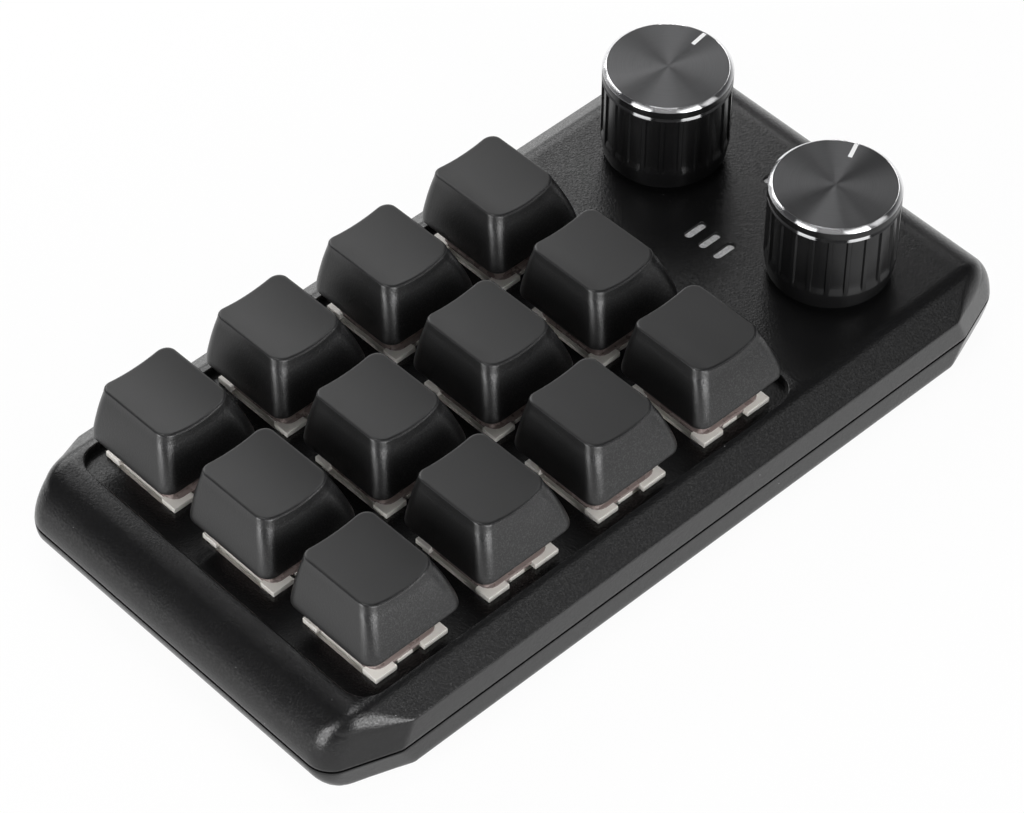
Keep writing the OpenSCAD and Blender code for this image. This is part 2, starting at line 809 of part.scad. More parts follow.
module knob_shell(n, pointer_a) {
  flute_top = knob_h - chamfer_h - band_h - 2 * groove_d;
  color(black) translate([knobs_x, knob_ys[n], knob_z]) rotate(pointer_a) difference() {
    rotate_extrude() polygon([
      [bore_r, 0], [knob_r - collar_in, 0], [knob_r, collar_h], [knob_r, flute_top],
      [knob_r - groove_d, flute_top + groove_d], [knob_r, flute_top + 2 * groove_d],
      [knob_r, knob_h - chamfer_h], [knob_r - chamfer_in, knob_h],
      [0, knob_h], [0, knob_h - knob_top_t], [bore_r, knob_h - knob_top_t]
    ]);
    for (f = [0 : flutes - 1]) rotate(360 * (f + 0.5) / flutes)
      translate([knob_r - flute_d, -flute_w / 2, collar_h + flute_land])
        cube([2, flute_w, flute_top - collar_h - 2 * flute_land]);
    translate([pointer_r0, -pointer_w / 2, knob_h - pointer_d])
      cube([knob_r - chamfer_in - 0.1 - pointer_r0, pointer_w, 1]);
  }
}

module knob_insert(n) {
  fit_d = shaft_d + 2 * insert_gap;
  color(dark) translate([knobs_x, knob_ys[n], 0]) difference() {
    translate([0, 0, insert_z]) cylinder(r = bore_r - insert_gap, h = insert_top - insert_z);
    difference() {
      translate([0, 0, insert_z - 1]) cylinder(d = fit_d, h = shaft_top - insert_z + 1.5);
      translate([shaft_d / 2 - flat_d + insert_gap, -shaft_d, flat_z + insert_gap])
        cube([shaft_d, 2 * shaft_d, 40]);
    }
  }
}

// ---------- nodes ----------

module place_key(k) {
  translate([key_x(k[1]), key_y(k[0]), 0]) children();
}

top_shell();
bottom_shell();
circuit_board();
board_parts();
usb_socket();
switch_lower_housings();
switch_upper_housings();
switch_contacts();
indicator_lenses();
encoder_housing(0);  // encoder_1_housing
encoder_housing(1);  // encoder_2_housing
encoder_shaft(0);  // encoder_1_shaft
encoder_shaft(1);  // encoder_2_shaft
encoder_plunger(0);  // encoder_1_plunger
encoder_plunger(1);  // encoder_2_plunger
encoder_washers();
encoder_nuts();
knob_shell(0, pointer_a1);  // knob_1_shell
knob_shell(1, pointer_a2);  // knob_2_shell
knob_insert(0);  // knob_1_insert
knob_insert(1);  // knob_2_insert
case_screws();
rubber_feet();
for (k = KEYS) place_key(k) keycap();
for (k = KEYS) place_key(k) key_stem();
for (k = KEYS) place_key(k) key_spring();
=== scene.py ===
"""Macro keypad with twelve keys and two knobs: surfaces, finishes, camera and lights."""
import math

import bmesh
import bpy
import numpy as np
from mathutils import Matrix, Vector


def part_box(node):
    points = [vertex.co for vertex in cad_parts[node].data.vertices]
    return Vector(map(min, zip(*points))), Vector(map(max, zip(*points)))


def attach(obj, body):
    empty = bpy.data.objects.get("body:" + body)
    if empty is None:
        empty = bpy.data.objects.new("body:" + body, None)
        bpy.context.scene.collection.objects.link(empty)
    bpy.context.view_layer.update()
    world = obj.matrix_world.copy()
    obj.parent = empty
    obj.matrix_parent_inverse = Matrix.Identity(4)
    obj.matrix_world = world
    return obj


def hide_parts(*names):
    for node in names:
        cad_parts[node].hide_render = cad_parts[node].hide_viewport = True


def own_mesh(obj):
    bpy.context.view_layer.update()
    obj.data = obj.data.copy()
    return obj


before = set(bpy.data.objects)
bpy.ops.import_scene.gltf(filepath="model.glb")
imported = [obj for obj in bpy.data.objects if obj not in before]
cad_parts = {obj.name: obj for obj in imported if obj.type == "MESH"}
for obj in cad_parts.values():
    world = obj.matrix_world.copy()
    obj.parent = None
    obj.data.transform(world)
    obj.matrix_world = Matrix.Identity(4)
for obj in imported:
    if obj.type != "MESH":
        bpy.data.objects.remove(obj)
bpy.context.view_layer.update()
MM = 0.001


def mm_box(node):
    """Lowest and highest corner of a CAD node, in millimetres."""
    lo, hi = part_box(node)
    return np.array(lo) / MM, np.array(hi) / MM


def middle(node):
    """Middle of a CAD node's box, in millimetres."""
    lo, hi = mm_box(node)
    return (lo + hi) / 2


# ---- sizes, in millimetres

HALF_L, HALF_W, TOP_Z = mm_box("top_shell")[1]
UNDER_Z = mm_box("bottom_shell")[0][2]
SEAM_Z = UNDER_Z + 5.0
SEAM_GAP = 0.4
WALL = 2.0
FLOOR_T = 2.0
TOP_T = 1.65
SLOPE_W, SLOPE_DROP = 4.6, 3.55
TAPER_L, TAPER_W = 11.4, 4.1
CORNER_R = 4.5
END_R, LOW_R, EDGE_R = 8.0, 4.6, 0.8
RIDGE_Z = TOP_Z - SLOPE_DROP
CEILING_Z = TOP_Z - TOP_T

KEYS = [row + str(col) for row in "abc" for col in (1, 2, 3, 4)]
KEY_SPOT = {k: middle("key_stem_" + k)[:2] for k in KEYS}
KNOB_SPOT = {n: middle(f"encoder_{n}_plunger")[:2] for n in (1, 2)}
CAP_LO, CAP_HI = mm_box("keycap_b2")
LOWER_TOP = mm_box("switch_lower_housings")[1][2]
UPPER_TOP = mm_box("switch_upper_housings")[1][2]
FLANGE_T = 1.0
PLATE_T = 1.5
PLATE_Z = LOWER_TOP - FLANGE_T
BOARD_TOP = PLATE_Z - 5.0
SWITCH_HOLE = 14.0
KNOB_LO, KNOB_HI = mm_box("knob_1_shell")
KNOB_R = (KNOB_HI[0] - KNOB_LO[0]) / 2
KNOB_H = KNOB_HI[2] - KNOB_LO[2]

# recess around the keys, with its margins from the middles of the outer keys
FIELD_LEFT, FIELD_RIGHT, FIELD_FRONT, FIELD_BACK = 11.6, 10.8, 10.2, 9.5
FIELD_X = (KEY_SPOT["a1"][0] - FIELD_LEFT, KEY_SPOT["a4"][0] + FIELD_RIGHT)
FIELD_Y = (KEY_SPOT["c1"][1] - FIELD_FRONT, KEY_SPOT["a1"][1] + FIELD_BACK)
FIELD_R = 4.0

SIDES = (-1, 1)
CORNERS = [(sx, sy) for sx in SIDES for sy in SIDES]


# ---- mesh tools

def make_piece(name, verts, faces, material, body, slot, replaces=(), smooth_angle=32, even=True):
    """A mesh from points in millimetres, riding on a body and standing for its CAD nodes."""
    mesh = bpy.data.meshes.new(name)
    points = (np.asarray(verts, float) * MM).tolist()
    mesh.from_pydata(points, [], [list(map(int, f)) for f in faces])
    mesh.validate()
    piece = bpy.data.objects.new(name, mesh)
    bpy.context.scene.collection.objects.link(piece)
    return finish_piece(piece, material, body, replaces, smooth_angle, even)


def finish_piece(piece, material, body, replaces=(), smooth_angle=32, even=True):
    """Shading, material and place in the model. even keeps large flat faces flat."""
    work = bmesh.new()
    work.from_mesh(piece.data)
    bmesh.ops.recalc_face_normals(work, faces=work.faces)
    for face in work.faces:
        face.smooth = True
    limit = math.radians(smooth_angle)
    for edge in work.edges:
        edge.smooth = len(edge.link_faces) == 2 and edge.calc_face_angle(0.0) < limit
    work.to_mesh(piece.data)
    work.free()
    piece.data.materials.clear()
    piece.data.materials.append(material)
    if even:
        flatten = piece.modifiers.new("even", "WEIGHTED_NORMAL")
        flatten.keep_sharp = True
        flatten.weight = 90
    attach(piece, body)
    if replaces:
        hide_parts(*replaces)
    return piece


def scratch_object(verts, faces):
    """A mesh for cutting with, in millimetres."""
    mesh = bpy.data.meshes.new("cutter")
    mesh.from_pydata(np.asarray(verts, float).tolist(), [], [list(map(int, f)) for f in faces])
    tool = bpy.data.objects.new("cutter", mesh)
    bpy.context.scene.collection.objects.link(tool)
    work = bmesh.new()
    work.from_mesh(mesh)
    bmesh.ops.recalc_face_normals(work, faces=work.faces)
    work.to_mesh(mesh)
    work.free()
    return tool


def cut(body, tools):
    """Cuts closed meshes out of a closed mesh, all in millimetres."""
    group = bpy.data.collections.new("cutters")
    for tool in tools:
        group.objects.link(tool)
    step = body.modifiers.new("cut", "BOOLEAN")
    step.operation = "DIFFERENCE"
    step.operand_type = "COLLECTION"
    step.collection = group
    step.solver = "EXACT"
    graph = bpy.context.evaluated_depsgraph_get()
    mesh = bpy.data.meshes.new_from_object(body.evaluated_get(graph))
    body.modifiers.clear()
    old = body.data
    body.data = mesh
    bpy.data.meshes.remove(old)
    for tool in tools:
        tool_mesh = tool.data
        bpy.data.objects.remove(tool)
        bpy.data.meshes.remove(tool_mesh)
    bpy.data.collections.remove(group)
    return body


def shape_of(body):
    """The points and faces of a cut mesh, whose object is then removed."""
    verts = np.array([v.co[:] for v in body.data.vertices])
    faces = [tuple(p.vertices) for p in body.data.polygons]
    bpy.data.objects.remove(body)
    return verts, faces


def ring_faces(rings, n, closed_ends=True):
    """Quads between rings of n points each, with a face over the first and last ring if wanted."""
    faces = []
    for r in range(rings - 1):
        for i in range(n):
            j = (i + 1) % n
            faces.append((r * n + i, r * n + j, (r + 1) * n + j, (r + 1) * n + i))
    if closed_ends:
        faces.append(tuple(reversed(range(n))))
        faces.append(tuple((rings - 1) * n + i for i in range(n)))
    return faces


def arc_points(centre, radius, start, end, steps):
    """Points on an arc between two angles in degrees."""
    a = np.radians(np.linspace(start, end, steps + 1))
    return np.stack([centre[0] + radius * np.cos(a), centre[1] + radius * np.sin(a)], 1)


def round_rect(x0, y0, x1, y1, r, steps=6, along=1):
    """Points round a rectangle with round corners, anticlockwise from its lower right corner.
    Each straight side is split into the given number of lengths."""
    corners = (((x1 - r, y0 + r), -90), ((x1 - r, y1 - r), 0),
               ((x0 + r, y1 - r), 90), ((x0 + r, y0 + r), 180))
    arcs = [arc_points(c, r, a, a + 90, steps) for c, a in corners]
    points = []
    for arc, after in zip(arcs, arcs[1:] + arcs[:1]):
        share = np.linspace(0, 1, along + 1)[1:-1, None]
        points += [arc, arc[-1] + (after[0] - arc[-1]) * share]
    return np.concatenate(points)


def stack(outlines, heights):
    """Rings of one point count at the given heights, as points and faces."""
    n = len(outlines[0])
    rings = [np.column_stack([o, np.full(n, float(z))]) for o, z in zip(outlines, heights)]
    return np.concatenate(rings), ring_faces(len(rings), n)


def prism(outline, z_low, z_high):
    """A cutter with upright sides."""
    return scratch_object(*stack([outline] * 2, [z_low, z_high]))


def opening_tool(outline_at, z_low, z_face, soft):
    """A cutter for an opening in a flat face, with its mouth rounded by the radius soft.
    outline_at(g) gives the outline grown by g."""
    outlines, heights = [outline_at(0.0)], [z_low]
    for t in np.radians(np.linspace(0, 90, 4)):
        outlines.append(outline_at(soft * (1 - math.cos(t))))
        heights.append(z_face - soft * (1 - math.sin(t)))
    outlines.append(outline_at(soft))
    heights.append(z_face + 2)
    return scratch_object(*stack(outlines, heights))


def box_mesh(corner, opposite, soft=0.0):
    """A closed box between two opposite corners, with softened edges: its points and faces."""
    work = bmesh.new()
    bmesh.ops.create_cube(work, size=1.0)
    lo, hi = np.minimum(corner, opposite), np.maximum(corner, opposite)
    for v in work.verts:
        v.co = Vector((lo + hi) / 2 + np.array(v.co) * (hi - lo))
    if soft > 0:
        bmesh.ops.bevel(work, geom=list(work.edges), offset=soft, segments=2, profile=0.5,
                        affect="EDGES", clamp_overlap=True)
    verts = np.array([v.co[:] for v in work.verts])
    work.verts.index_update()
    faces = [tuple(v.index for v in f.verts) for f in work.faces]
    work.free()
    return verts, faces


def turned_ring(radius, z, angles):
    """Points round Z, or the one point on it. The radius may vary along the ring."""
    if np.max(radius) < 1e-6:
        return [(0.0, 0.0, z)]
    return np.column_stack([radius * np.cos(angles), radius * np.sin(angles), np.full(len(angles), z)])


def stitched(rings):
    """Rings of one point count joined in order, where a ring of one point closes to a tip."""
    steps = max(len(ring) for ring in rings)
    verts, index = [], []
    for ring in rings:
        first = len(verts)
        index.append([first] * steps if len(ring) == 1 else list(range(first, first + steps)))
        verts.extend(ring)
    faces = []
    for low, high in zip(index, index[1:]):
        for i in range(steps):
            j = (i + 1) % steps
            loop = [low[i], low[j], high[j], high[i]]
            face = [v for k, v in enumerate(loop) if v != loop[k - 1]]
            if len(face) > 2:
                faces.append(tuple(face))
    return np.array(verts), faces


def turned(profile, steps):
    """A profile of (radius, height) points turned about Z."""
    angles = np.linspace(0, 2 * math.pi, steps, endpoint=False)
    return stitched([turned_ring(r, z, angles) for r, z in profile])


def joined(parts):
    """Several (points, faces) pairs as one."""
    verts, faces, start = [], [], 0
    for v, f in parts:
        verts.append(np.asarray(v, float))
        faces.extend(tuple(i + start for i in face) for face in f)
        start += len(v)
    return np.concatenate(verts), faces


def moved(part, offset):
    """A (points, faces) pair shifted by an offset."""
    return np.asarray(part[0], float) + np.array(offset, float), part[1]


# ---- shader tools

class Wire:
    """A socket or a number in a material, with arithmetic on it."""

    def __init__(self, tree, source):
        self.tree, self.source = tree, source

    def node(self, kind, out=0, settings=None, **inputs):
        """Adds a node: settings are set first, then its inputs by name or by i0, i1..."""
        made = self.tree.nodes.new(kind)
        for key, value in (settings or {}).items():
            if key == "stops":
                ramp = made.color_ramp
                while len(ramp.elements) < len(value):
                    ramp.elements.new(0.5)
                for element, (place, colour) in zip(ramp.elements, value):
                    element.position = place
                    element.color = colour if len(colour) == 4 else (*colour, 1.0)
            else:
                setattr(made, key, value)
        for key, value in inputs.items():
            by_number = key[0] == "i" and key[1:].isdigit()
            socket = made.inputs[int(key[1:]) if by_number else key.replace("_", " ")]
            plug(self.tree, value, socket)
        return Wire(self.tree, made.outputs[out])

    def split(self):
        """The X, Y and Z parts of a vector."""
        made = self.node("ShaderNodeSeparateXYZ", i0=self).source.node
        return [Wire(self.tree, part) for part in made.outputs]

    def math(self, operation, *values, clamp=False):
        """A sum on the given values, each a wire or a number."""
        sockets = {f"i{n}": v for n, v in enumerate(values)}
        settings = {"operation": operation, "use_clamp": clamp}
        return self.node("ShaderNodeMath", settings=settings, **sockets)

    def __add__(self, other): return self.math("ADD", self, other)
    def __radd__(self, other): return self.math("ADD", other, self)
    def __sub__(self, other): return self.math("SUBTRACT", self, other)
    def __rsub__(self, other): return self.math("SUBTRACT", other, self)
    def __mul__(self, other): return self.math("MULTIPLY", self, other)
    def __rmul__(self, other): return self.math("MULTIPLY", other, self)
    def __truediv__(self, other): return self.math("DIVIDE", self, other)
    def __rtruediv__(self, other): return self.math("DIVIDE", other, self)
    def __pow__(self, other): return self.math("POWER", self, other)
    def __neg__(self): return self.math("MULTIPLY", self, -1.0)

    def clamp(self): return self.math("ADD", self, 0.0, clamp=True)

    def between(self, low, high):
        """0 below low, 1 above high and smooth in between; the two may be the other way round."""
        return self.node("ShaderNodeMapRange", settings={"interpolation_type": "SMOOTHSTEP"},
                         Value=self, From_Min=low, From_Max=high)

    def mix(self, first, second):
        """Colour first where this is 0 and second where it is 1."""
        return self.node("ShaderNodeMix", out=2, settings={"data_type": "RGBA"},
                         i0=self, i6=first, i7=second)


def plug(tree, value, socket):
    """Links a wire to a socket, or sets the socket to a number or colour."""
    if isinstance(value, Wire):
        tree.links.new(value.source, socket)
    elif isinstance(value, (tuple, list)) and len(value) == 3 and len(socket.default_value) == 4:
        socket.default_value = (*value, 1.0)
    else:
        socket.default_value = value


class Finish:
    """A material: its place in the part, noises in millimetres, and the surface shader."""

    def __init__(self, name):
        self.material = bpy.data.materials.new(name)
        self.material.use_nodes = True
        self.tree = self.material.node_tree
        self.tree.nodes.clear()
        self.start = Wire(self.tree, None)
        place = self.start.node("ShaderNodeTexCoord", out=3)
        self.place = self.start.node("ShaderNodeVectorMath", settings={"operation": "SCALE"},
                                     i0=place, Scale=1 / MM)
        self.x, self.y, self.z = self.place.split()

    def noise(self, size, detail=2.0, rough=0.5, stretch=None):
        """Noise from 0 to 1 with spots about size millimetres across."""
        place = self.place
        if stretch:
            place = self.start.node("ShaderNodeVectorMath", settings={"operation": "MULTIPLY"},
                                    i0=place, i1=stretch)
        return self.start.node("ShaderNodeTexNoise", Vector=place, Scale=1 / size, Detail=detail,
                               Roughness=rough)

    def cells(self, size):
        """Distance from the middle of cells about size millimetres across."""
        return self.start.node("ShaderNodeTexVoronoi", Vector=self.place, Scale=1 / size)

    def facing(self):
        """The X, Y and Z parts of the way the surface faces."""
        return self.start.node("ShaderNodeNewGeometry", out=1).split()

    def surface(self, colour, rough, height, depth, **inputs):
        """The main shader, with a bump whose height varies by depth millimetres over its range.
        Other inputs go by name, with _ for spaces."""
        bump = self.start.node("ShaderNodeBump", Height=height, Strength=1.0, Distance=depth * MM)
        return self.output(self.start.node("ShaderNodeBsdfPrincipled", Base_Color=colour,
                                           Roughness=rough, Normal=bump, **inputs))

    def output(self, shader):
        """Ends the material with a shader."""
        end = self.tree.nodes.new("ShaderNodeOutputMaterial")
        self.tree.links.new(shader.source, end.inputs[0])
        return self.material


# ---- finishes

def shade(colour, by):
    """A colour made darker or lighter."""
    return tuple(min(1.0, c * by) for c in colour)


def moulded_plastic(name, colour, grain, depth, rough, specks=0.0):
    """Spark-textured moulded plastic. Its grain catches light, less so on upright walls."""
    f = Finish(name)
    coarse = f.noise(9.0, detail=3.0)
    fine = f.noise(grain, detail=2.0, rough=0.6)
    pits = f.cells(grain * 1.6)
    height = fine * 0.7 + pits * 0.5
    tone = (coarse - 0.5) * 0.25 + (fine - 0.5) * 0.3 + 0.5
    base = tone.clamp().mix(shade(colour, 0.86), shade(colour, 1.16))
    if specks:
        dust = f.cells(2.6).between(0.055, 0.03) * f.noise(14.0).between(0.5, 0.62)
        base = (dust * specks).mix(base, (0.30, 0.30, 0.30))
    gloss = (coarse - 0.5) * 0.10 + (fine - 0.5) * 0.10 + rough
    sparkle = f.noise(grain * 1.2, detail=1.0, rough=0.8).between(0.45, 0.68)
    up = f.facing()[2]
    sparkle = sparkle * (up.between(0.1, 0.5) * 0.40 + 0.15)
    return f.surface(base, gloss.clamp(), height, depth, Specular_IOR_Level=0.36,
                     Coat_Weight=sparkle, Coat_Roughness=0.24)


def satin_cap(name, colour):
    """Keycap plastic: finely textured sides and a smoother, worn top, with a painted highlight along
    its rolled edges.
    As in the photo, the grain shows on the front faces and a soft sheen on the left ones."""
    f = Finish(name)
    right, back, up = f.facing()
    top = up.between(0.75, 0.93)
    fine = f.noise(0.28, detail=2.0, rough=0.65)
    front = back.between(-0.3, -0.75)
    sparkle = f.noise(0.26, detail=1.0, rough=0.8).between(0.45, 0.7) * front * 0.45
    sheen = sparkle + right.between(-0.3, -0.75) * 0.3
    mottle = f.noise(0.65, detail=1.0)
    coarse = f.noise(6.0, detail=2.0)
    height = (fine * 0.9 + mottle * 0.25) * (1.0 - top * 0.9)
    # edge marks the rolled top edges, where a highlight is painted further down
    edge = up.between(0.45, 0.6) * (1.0 - up.between(0.90, 0.965))
    tone = ((coarse - 0.5) * 0.2 + (mottle - 0.5) * (1.0 - top * 0.7) * 0.35 + 0.5).clamp()
    base = tone.mix(shade(colour, 0.86), shade(colour, 1.15))
    # painted highlight: the rolled top edges get a colour three times lighter than the cap
    base = (edge * 0.8).mix(base, shade(colour, 3.0))
    gloss = top * 0.02 - edge * 0.14 + (coarse - 0.5) * 0.08 + (fine - 0.5) * 0.10 + 0.38
    return f.surface(base, gloss.clamp(), height, 0.05, Specular_IOR_Level=0.44,
                     Coat_Weight=sheen.clamp(), Coat_Roughness=0.38)


def cream_plastic(name):
    """Pale plastic of the switches' lower housings."""
    f = Finish(name)
    coarse = f.noise(3.0, detail=3.0)
    fine = f.noise(0.25)
    base = (coarse * 0.7 + fine * 0.3).clamp().mix((0.93, 0.89, 0.82), (0.98, 0.955, 0.905))
    return f.surface(base, (coarse - 0.5) * 0.15 + 0.42, fine, 0.006, Specular_IOR_Level=0.5)


def smoky_plastic(name):
    """Tinted plastic of the switches' upper housings, which lets some light through."""
    f = Finish(name)
    coarse = f.noise(2.0, detail=2.0)
    base = coarse.mix((0.33, 0.265, 0.25), (0.41, 0.335, 0.315))
    return f.surface(base, (coarse - 0.5) * 0.2 + 0.28, f.noise(0.3), 0.004,
                     Transmission_Weight=0.25, IOR=1.5)


def metal(name, colour, rough):
    """Plain metal with faint uneven spots."""
    f = Finish(name)
    coarse = f.noise(4.0, detail=3.0)
    fine = f.noise(0.3, detail=2.0)
    base = coarse.mix(shade(colour, 0.85), shade(colour, 1.1))
    gloss = (coarse - 0.5) * 0.15 + (fine - 0.5) * 0.1 + rough
    return f.surface(base, gloss.clamp(), fine, 0.003, Metallic=1.0)


def knob_finish(name, spot, top_z):
    """Black anodised aluminium: spun top, bright cut chamfer and satin flutes."""
    f = Finish(name)
    dx, dy = f.x - float(spot[0]), f.y - float(spot[1])
    squared = dx * dx + dy * dy
    radius = squared.math("SQRT", squared)
    up = f.facing()[2]
    on_top = up.between(0.93, 0.99) * f.z.between(top_z - 1.2, top_z - 0.6)
    leaning = up.between(0.35, 0.5) * (1.0 - up.between(0.85, 0.93))
    on_cut = leaning * f.z.between(top_z - 2.7, top_z - 2.5)
    on_rim = on_cut * f.z.between(top_z - 1.2, top_z - 0.9)
    spin_pitch = 0.13
    turns = radius * (2 * math.pi / spin_pitch)
    rings = turns.math("SINE", turns)
    uneven = f.start.node("ShaderNodeTexNoise", settings={"noise_dimensions": "1D"},
                          W=radius * 6.0, Scale=1.0, Detail=3.0)
    spin = (rings * 0.4 + (uneven - 0.5) * 1.2) * on_top
    lines = f.noise(0.5, detail=2.0, stretch=(1.0, 1.0, 0.15))
    black = f.noise(3.0).mix((0.013, 0.013, 0.0135), (0.020, 0.020, 0.0205))
    top = uneven.mix((0.085, 0.085, 0.087), (0.115, 0.115, 0.118))
    bright = on_rim.mix((0.12, 0.12, 0.122), (0.88, 0.88, 0.89))
    base = on_cut.mix(on_top.mix(black, top), bright)
    gloss = on_top * 0.16 - on_cut * 0.06 + (lines - 0.5) * 0.02 + 0.21
    shine = on_top.math("MAXIMUM", on_top, on_cut) * 0.4 + 0.6
    return f.surface(base, gloss.clamp(), spin, 0.006, Metallic=shine, Anisotropic=0.97,
                     Anisotropic_Rotation=0.25)


def pointer_paint(name):
    """White paint of the knobs' lines, slightly worn."""
    f = Finish(name)
    patch = f.noise(0.5, detail=3.0)
    base = patch.mix((0.74, 0.74, 0.74), (0.90, 0.90, 0.90))
    return f.surface(base, (patch - 0.5) * 0.2 + 0.45, patch, 0.01)


def frosted_lens(name):
    """Cloudy white plastic of the indicator windows."""
    f = Finish(name)
    cloud = f.noise(0.35, detail=3.0, rough=0.7)
    base = cloud.between(0.35, 0.65).mix((0.52, 0.52, 0.525), (0.86, 0.86, 0.865))
    return f.surface(base, (cloud - 0.5) * 0.2 + 0.5, f.noise(0.2), 0.004)


def board_mask(name):
    """Green solder mask over tracks."""
    f = Finish(name)
    tracks = f.start.node("ShaderNodeTexBrick", Vector=f.place, Scale=0.35, Mortar_Size=0.05)
    patch = f.noise(5.0, detail=3.0)
    raised = f.start.node("ShaderNodeRGBToBW", Color=tracks)
    base = patch.mix((0.006, 0.045, 0.022), (0.010, 0.075, 0.036))
    return f.surface(base, (patch - 0.5) * 0.1 + 0.3, raised, 0.03)


def soft_rubber(name):
    """Dull black rubber of the feet."""
    f = Finish(name)
    fine = f.noise(0.3, detail=3.0)
    base = f.noise(4.0).mix((0.018, 0.018, 0.019), (0.035, 0.035, 0.036))
    return f.surface(base, (fine - 0.5) * 0.1 + 0.8, fine, 0.03)


CASE_BLACK = moulded_plastic("case_black", (0.0060, 0.0060, 0.0062), 0.24, 0.042, 0.24, specks=0.5)
CAP_BLACK = satin_cap("cap_black", (0.0065, 0.0065, 0.0067))
CREAM = cream_plastic("cream_plastic")
SMOKE = smoky_plastic("smoky_plastic")
STEM_BLUE = moulded_plastic("stem_blue", (0.03, 0.11, 0.32), 0.3, 0.004, 0.35)
STEEL = metal("nickel_steel", (0.62, 0.61, 0.59), 0.28)
SPRING_STEEL = metal("spring_steel", (0.70, 0.70, 0.71), 0.22)
GILT = metal("gilt_contacts", (0.83, 0.60, 0.24), 0.25)
BOARD_GREEN = board_mask("board_green")
CHIP_BLACK = moulded_plastic("chip_black", (0.02, 0.02, 0.021), 0.2, 0.006, 0.5)
LENS = frosted_lens("frosted_lens")
RUBBER = soft_rubber("soft_rubber")
INSERT_BLACK = moulded_plastic("insert_black", (0.02, 0.02, 0.021), 0.4, 0.02, 0.5)
POINTER = pointer_paint("pointer_paint")


# ---- case

KINK_X = HALF_L - TAPER_L
KINK_R = 2.0
STRAIGHT_RIDGE_R, FLARE_RIDGE_R = 0.45, 4.5
CROWN_R = 4.0
# the angled corners lean inwards above and below the parting line
LEAN_UP, LEAN_DOWN = 1.75, 2.27
# a loop well inside the case, from which its outside is found
LOOP_X, LOOP_Y = HALF_L - 12.5, HALF_W - 11.5
FARTHEST, HALVINGS = 40.0, 44


def smooth_step(low, high, value):
    """0 below low, 1 above high and smooth in between."""
    t = np.clip((value - low) / (high - low), 0, 1)
    return t * t * (3 - 2 * t)


def flat_face(p, normal, through):
    """How far points lie outside a flat face, and the way out of it."""
    out = np.array(normal, float) / np.linalg.norm(normal)
    return (p - through) @ out, np.tile(out, (len(p), 1))


def rolled(first, second, r):
    """Two faces that meet with a rolled edge of radius r, as one face.
    A face is how far each point lies outside it, and the way out there."""
    (a, a_out), (b, b_out) = first, second
    cosine = (a_out * b_out).sum(1)
    u, v = a + r, b + r
    spread = np.maximum(1 - cosine ** 2, 1e-3)
    along, across = (u - v * cosine) / spread, (v - u * cosine) / spread
    reach = np.sqrt(np.maximum(u * u + v * v - 2 * u * v * cosine, 1e-9) / spread)
    on_roll = (along > 0) & (across > 0)
    way = (along[:, None] * a_out + across[:, None] * b_out) / reach[:, None]
    out = np.where(on_roll[:, None], way, np.where((a > b)[:, None], a_out, b_out))
    return np.where(on_roll, reach - r, np.maximum(a, b)), out


def case_face(points, upper):
    """How far points lie outside the case, from its faces and their rolled edges."""
    p = np.column_stack([np.abs(points[:, 0]), np.abs(points[:, 1]), points[:, 2]])
    corner = (KINK_X, HALF_W, SEAM_Z)
    lean = LEAN_UP if upper else -LEAN_DOWN
    kink_x = KINK_X - np.abs(lean / TAPER_W * (p[:, 2] - SEAM_Z))
    side = flat_face(p, (0, 1, 0), corner)
    long_side = rolled(side, flat_face(p, (TAPER_W, TAPER_L, lean), corner), KINK_R)
    if upper:
        slope = flat_face(p, (0, SLOPE_DROP, SLOPE_W), (0, HALF_W, RIDGE_Z))
        flare = smooth_step(kink_x - 0.5, kink_x + 6.5, p[:, 0])
        ridge_r = STRAIGHT_RIDGE_R + (FLARE_RIDGE_R - STRAIGHT_RIDGE_R) * flare
        long_side = rolled(long_side, slope, ridge_r)
        flat, r_end, crown = flat_face(p, (0, 0, 1), (0, 0, TOP_Z)), END_R, CROWN_R
    else:
        flat, r_end, crown = flat_face(p, (0, 0, -1), (0, 0, UNDER_Z)), LOW_R, EDGE_R
    cap = rolled(flat_face(p, (1, 0, 0), (HALF_L, 0, 0)), flat, r_end)
    return rolled(cap, long_side, crown + (CORNER_R - crown) * cap[1][:, 0] ** 2)[0]


def reach_out(origin, ray, upper):
    """How far rays run before they leave the case."""
    low, high = np.zeros(len(ray)), np.full(len(ray), FARTHEST)
    for _ in range(HALVINGS):
        mid = (low + high) / 2
        outside = case_face(origin + ray * mid[:, None], upper) > 0
        high, low = np.where(outside, mid, high), np.where(outside, low, mid)
    return low[:, None]


def outline_stations():
    """Plan directions round the case: points on the loop inside it, and where each looks."""
    before_kink = KINK_X - 8
    side_x = np.linspace(0, before_kink, 14)[:-1], np.linspace(before_kink, LOOP_X, 22)
    turn = np.radians(np.linspace(90, 0, 44))[1:-1]
    loop = [(x, LOOP_Y, 0.0, 1.0) for x in np.concatenate(side_x)]
    loop += [(LOOP_X, LOOP_Y, math.cos(a), math.sin(a)) for a in turn]
    loop += [(LOOP_X, y, 1.0, 0.0) for y in np.linspace(LOOP_Y, 0, 8)]
    quarter = np.array(loop)
    other = quarter[::-1][1:] * (1, -1, 1, -1)
    half = np.concatenate([quarter, other])
    left = half[::-1][1:-1] * (-1, 1, -1, 1)
    return np.concatenate([half, left])


def rim_angles(upper):
    """Angles from the parting plane to the flat face, close together at the ridge."""
    if not upper:
        return np.radians(np.linspace(0, 90, 34))
    ridge = math.atan2(RIDGE_Z - SEAM_Z, HALF_W - LOOP_Y) / math.radians(90)
    t = np.linspace(0, 1, 67)
    below = ridge * (1 - np.abs(1 - t / ridge) ** 1.7)
    above = ridge + (1 - ridge) * np.abs((t - ridge) / (1 - ridge)) ** 1.5
    return np.radians(90) * np.where(t < ridge, below, above)


def station_rays(z):
    """Where the rays start at one height, and which way they run."""
    stations = outline_stations()
    flat = np.zeros(len(stations))
    return np.column_stack([stations[:, :2], flat + z]), np.column_stack([stations[:, 2:], flat])


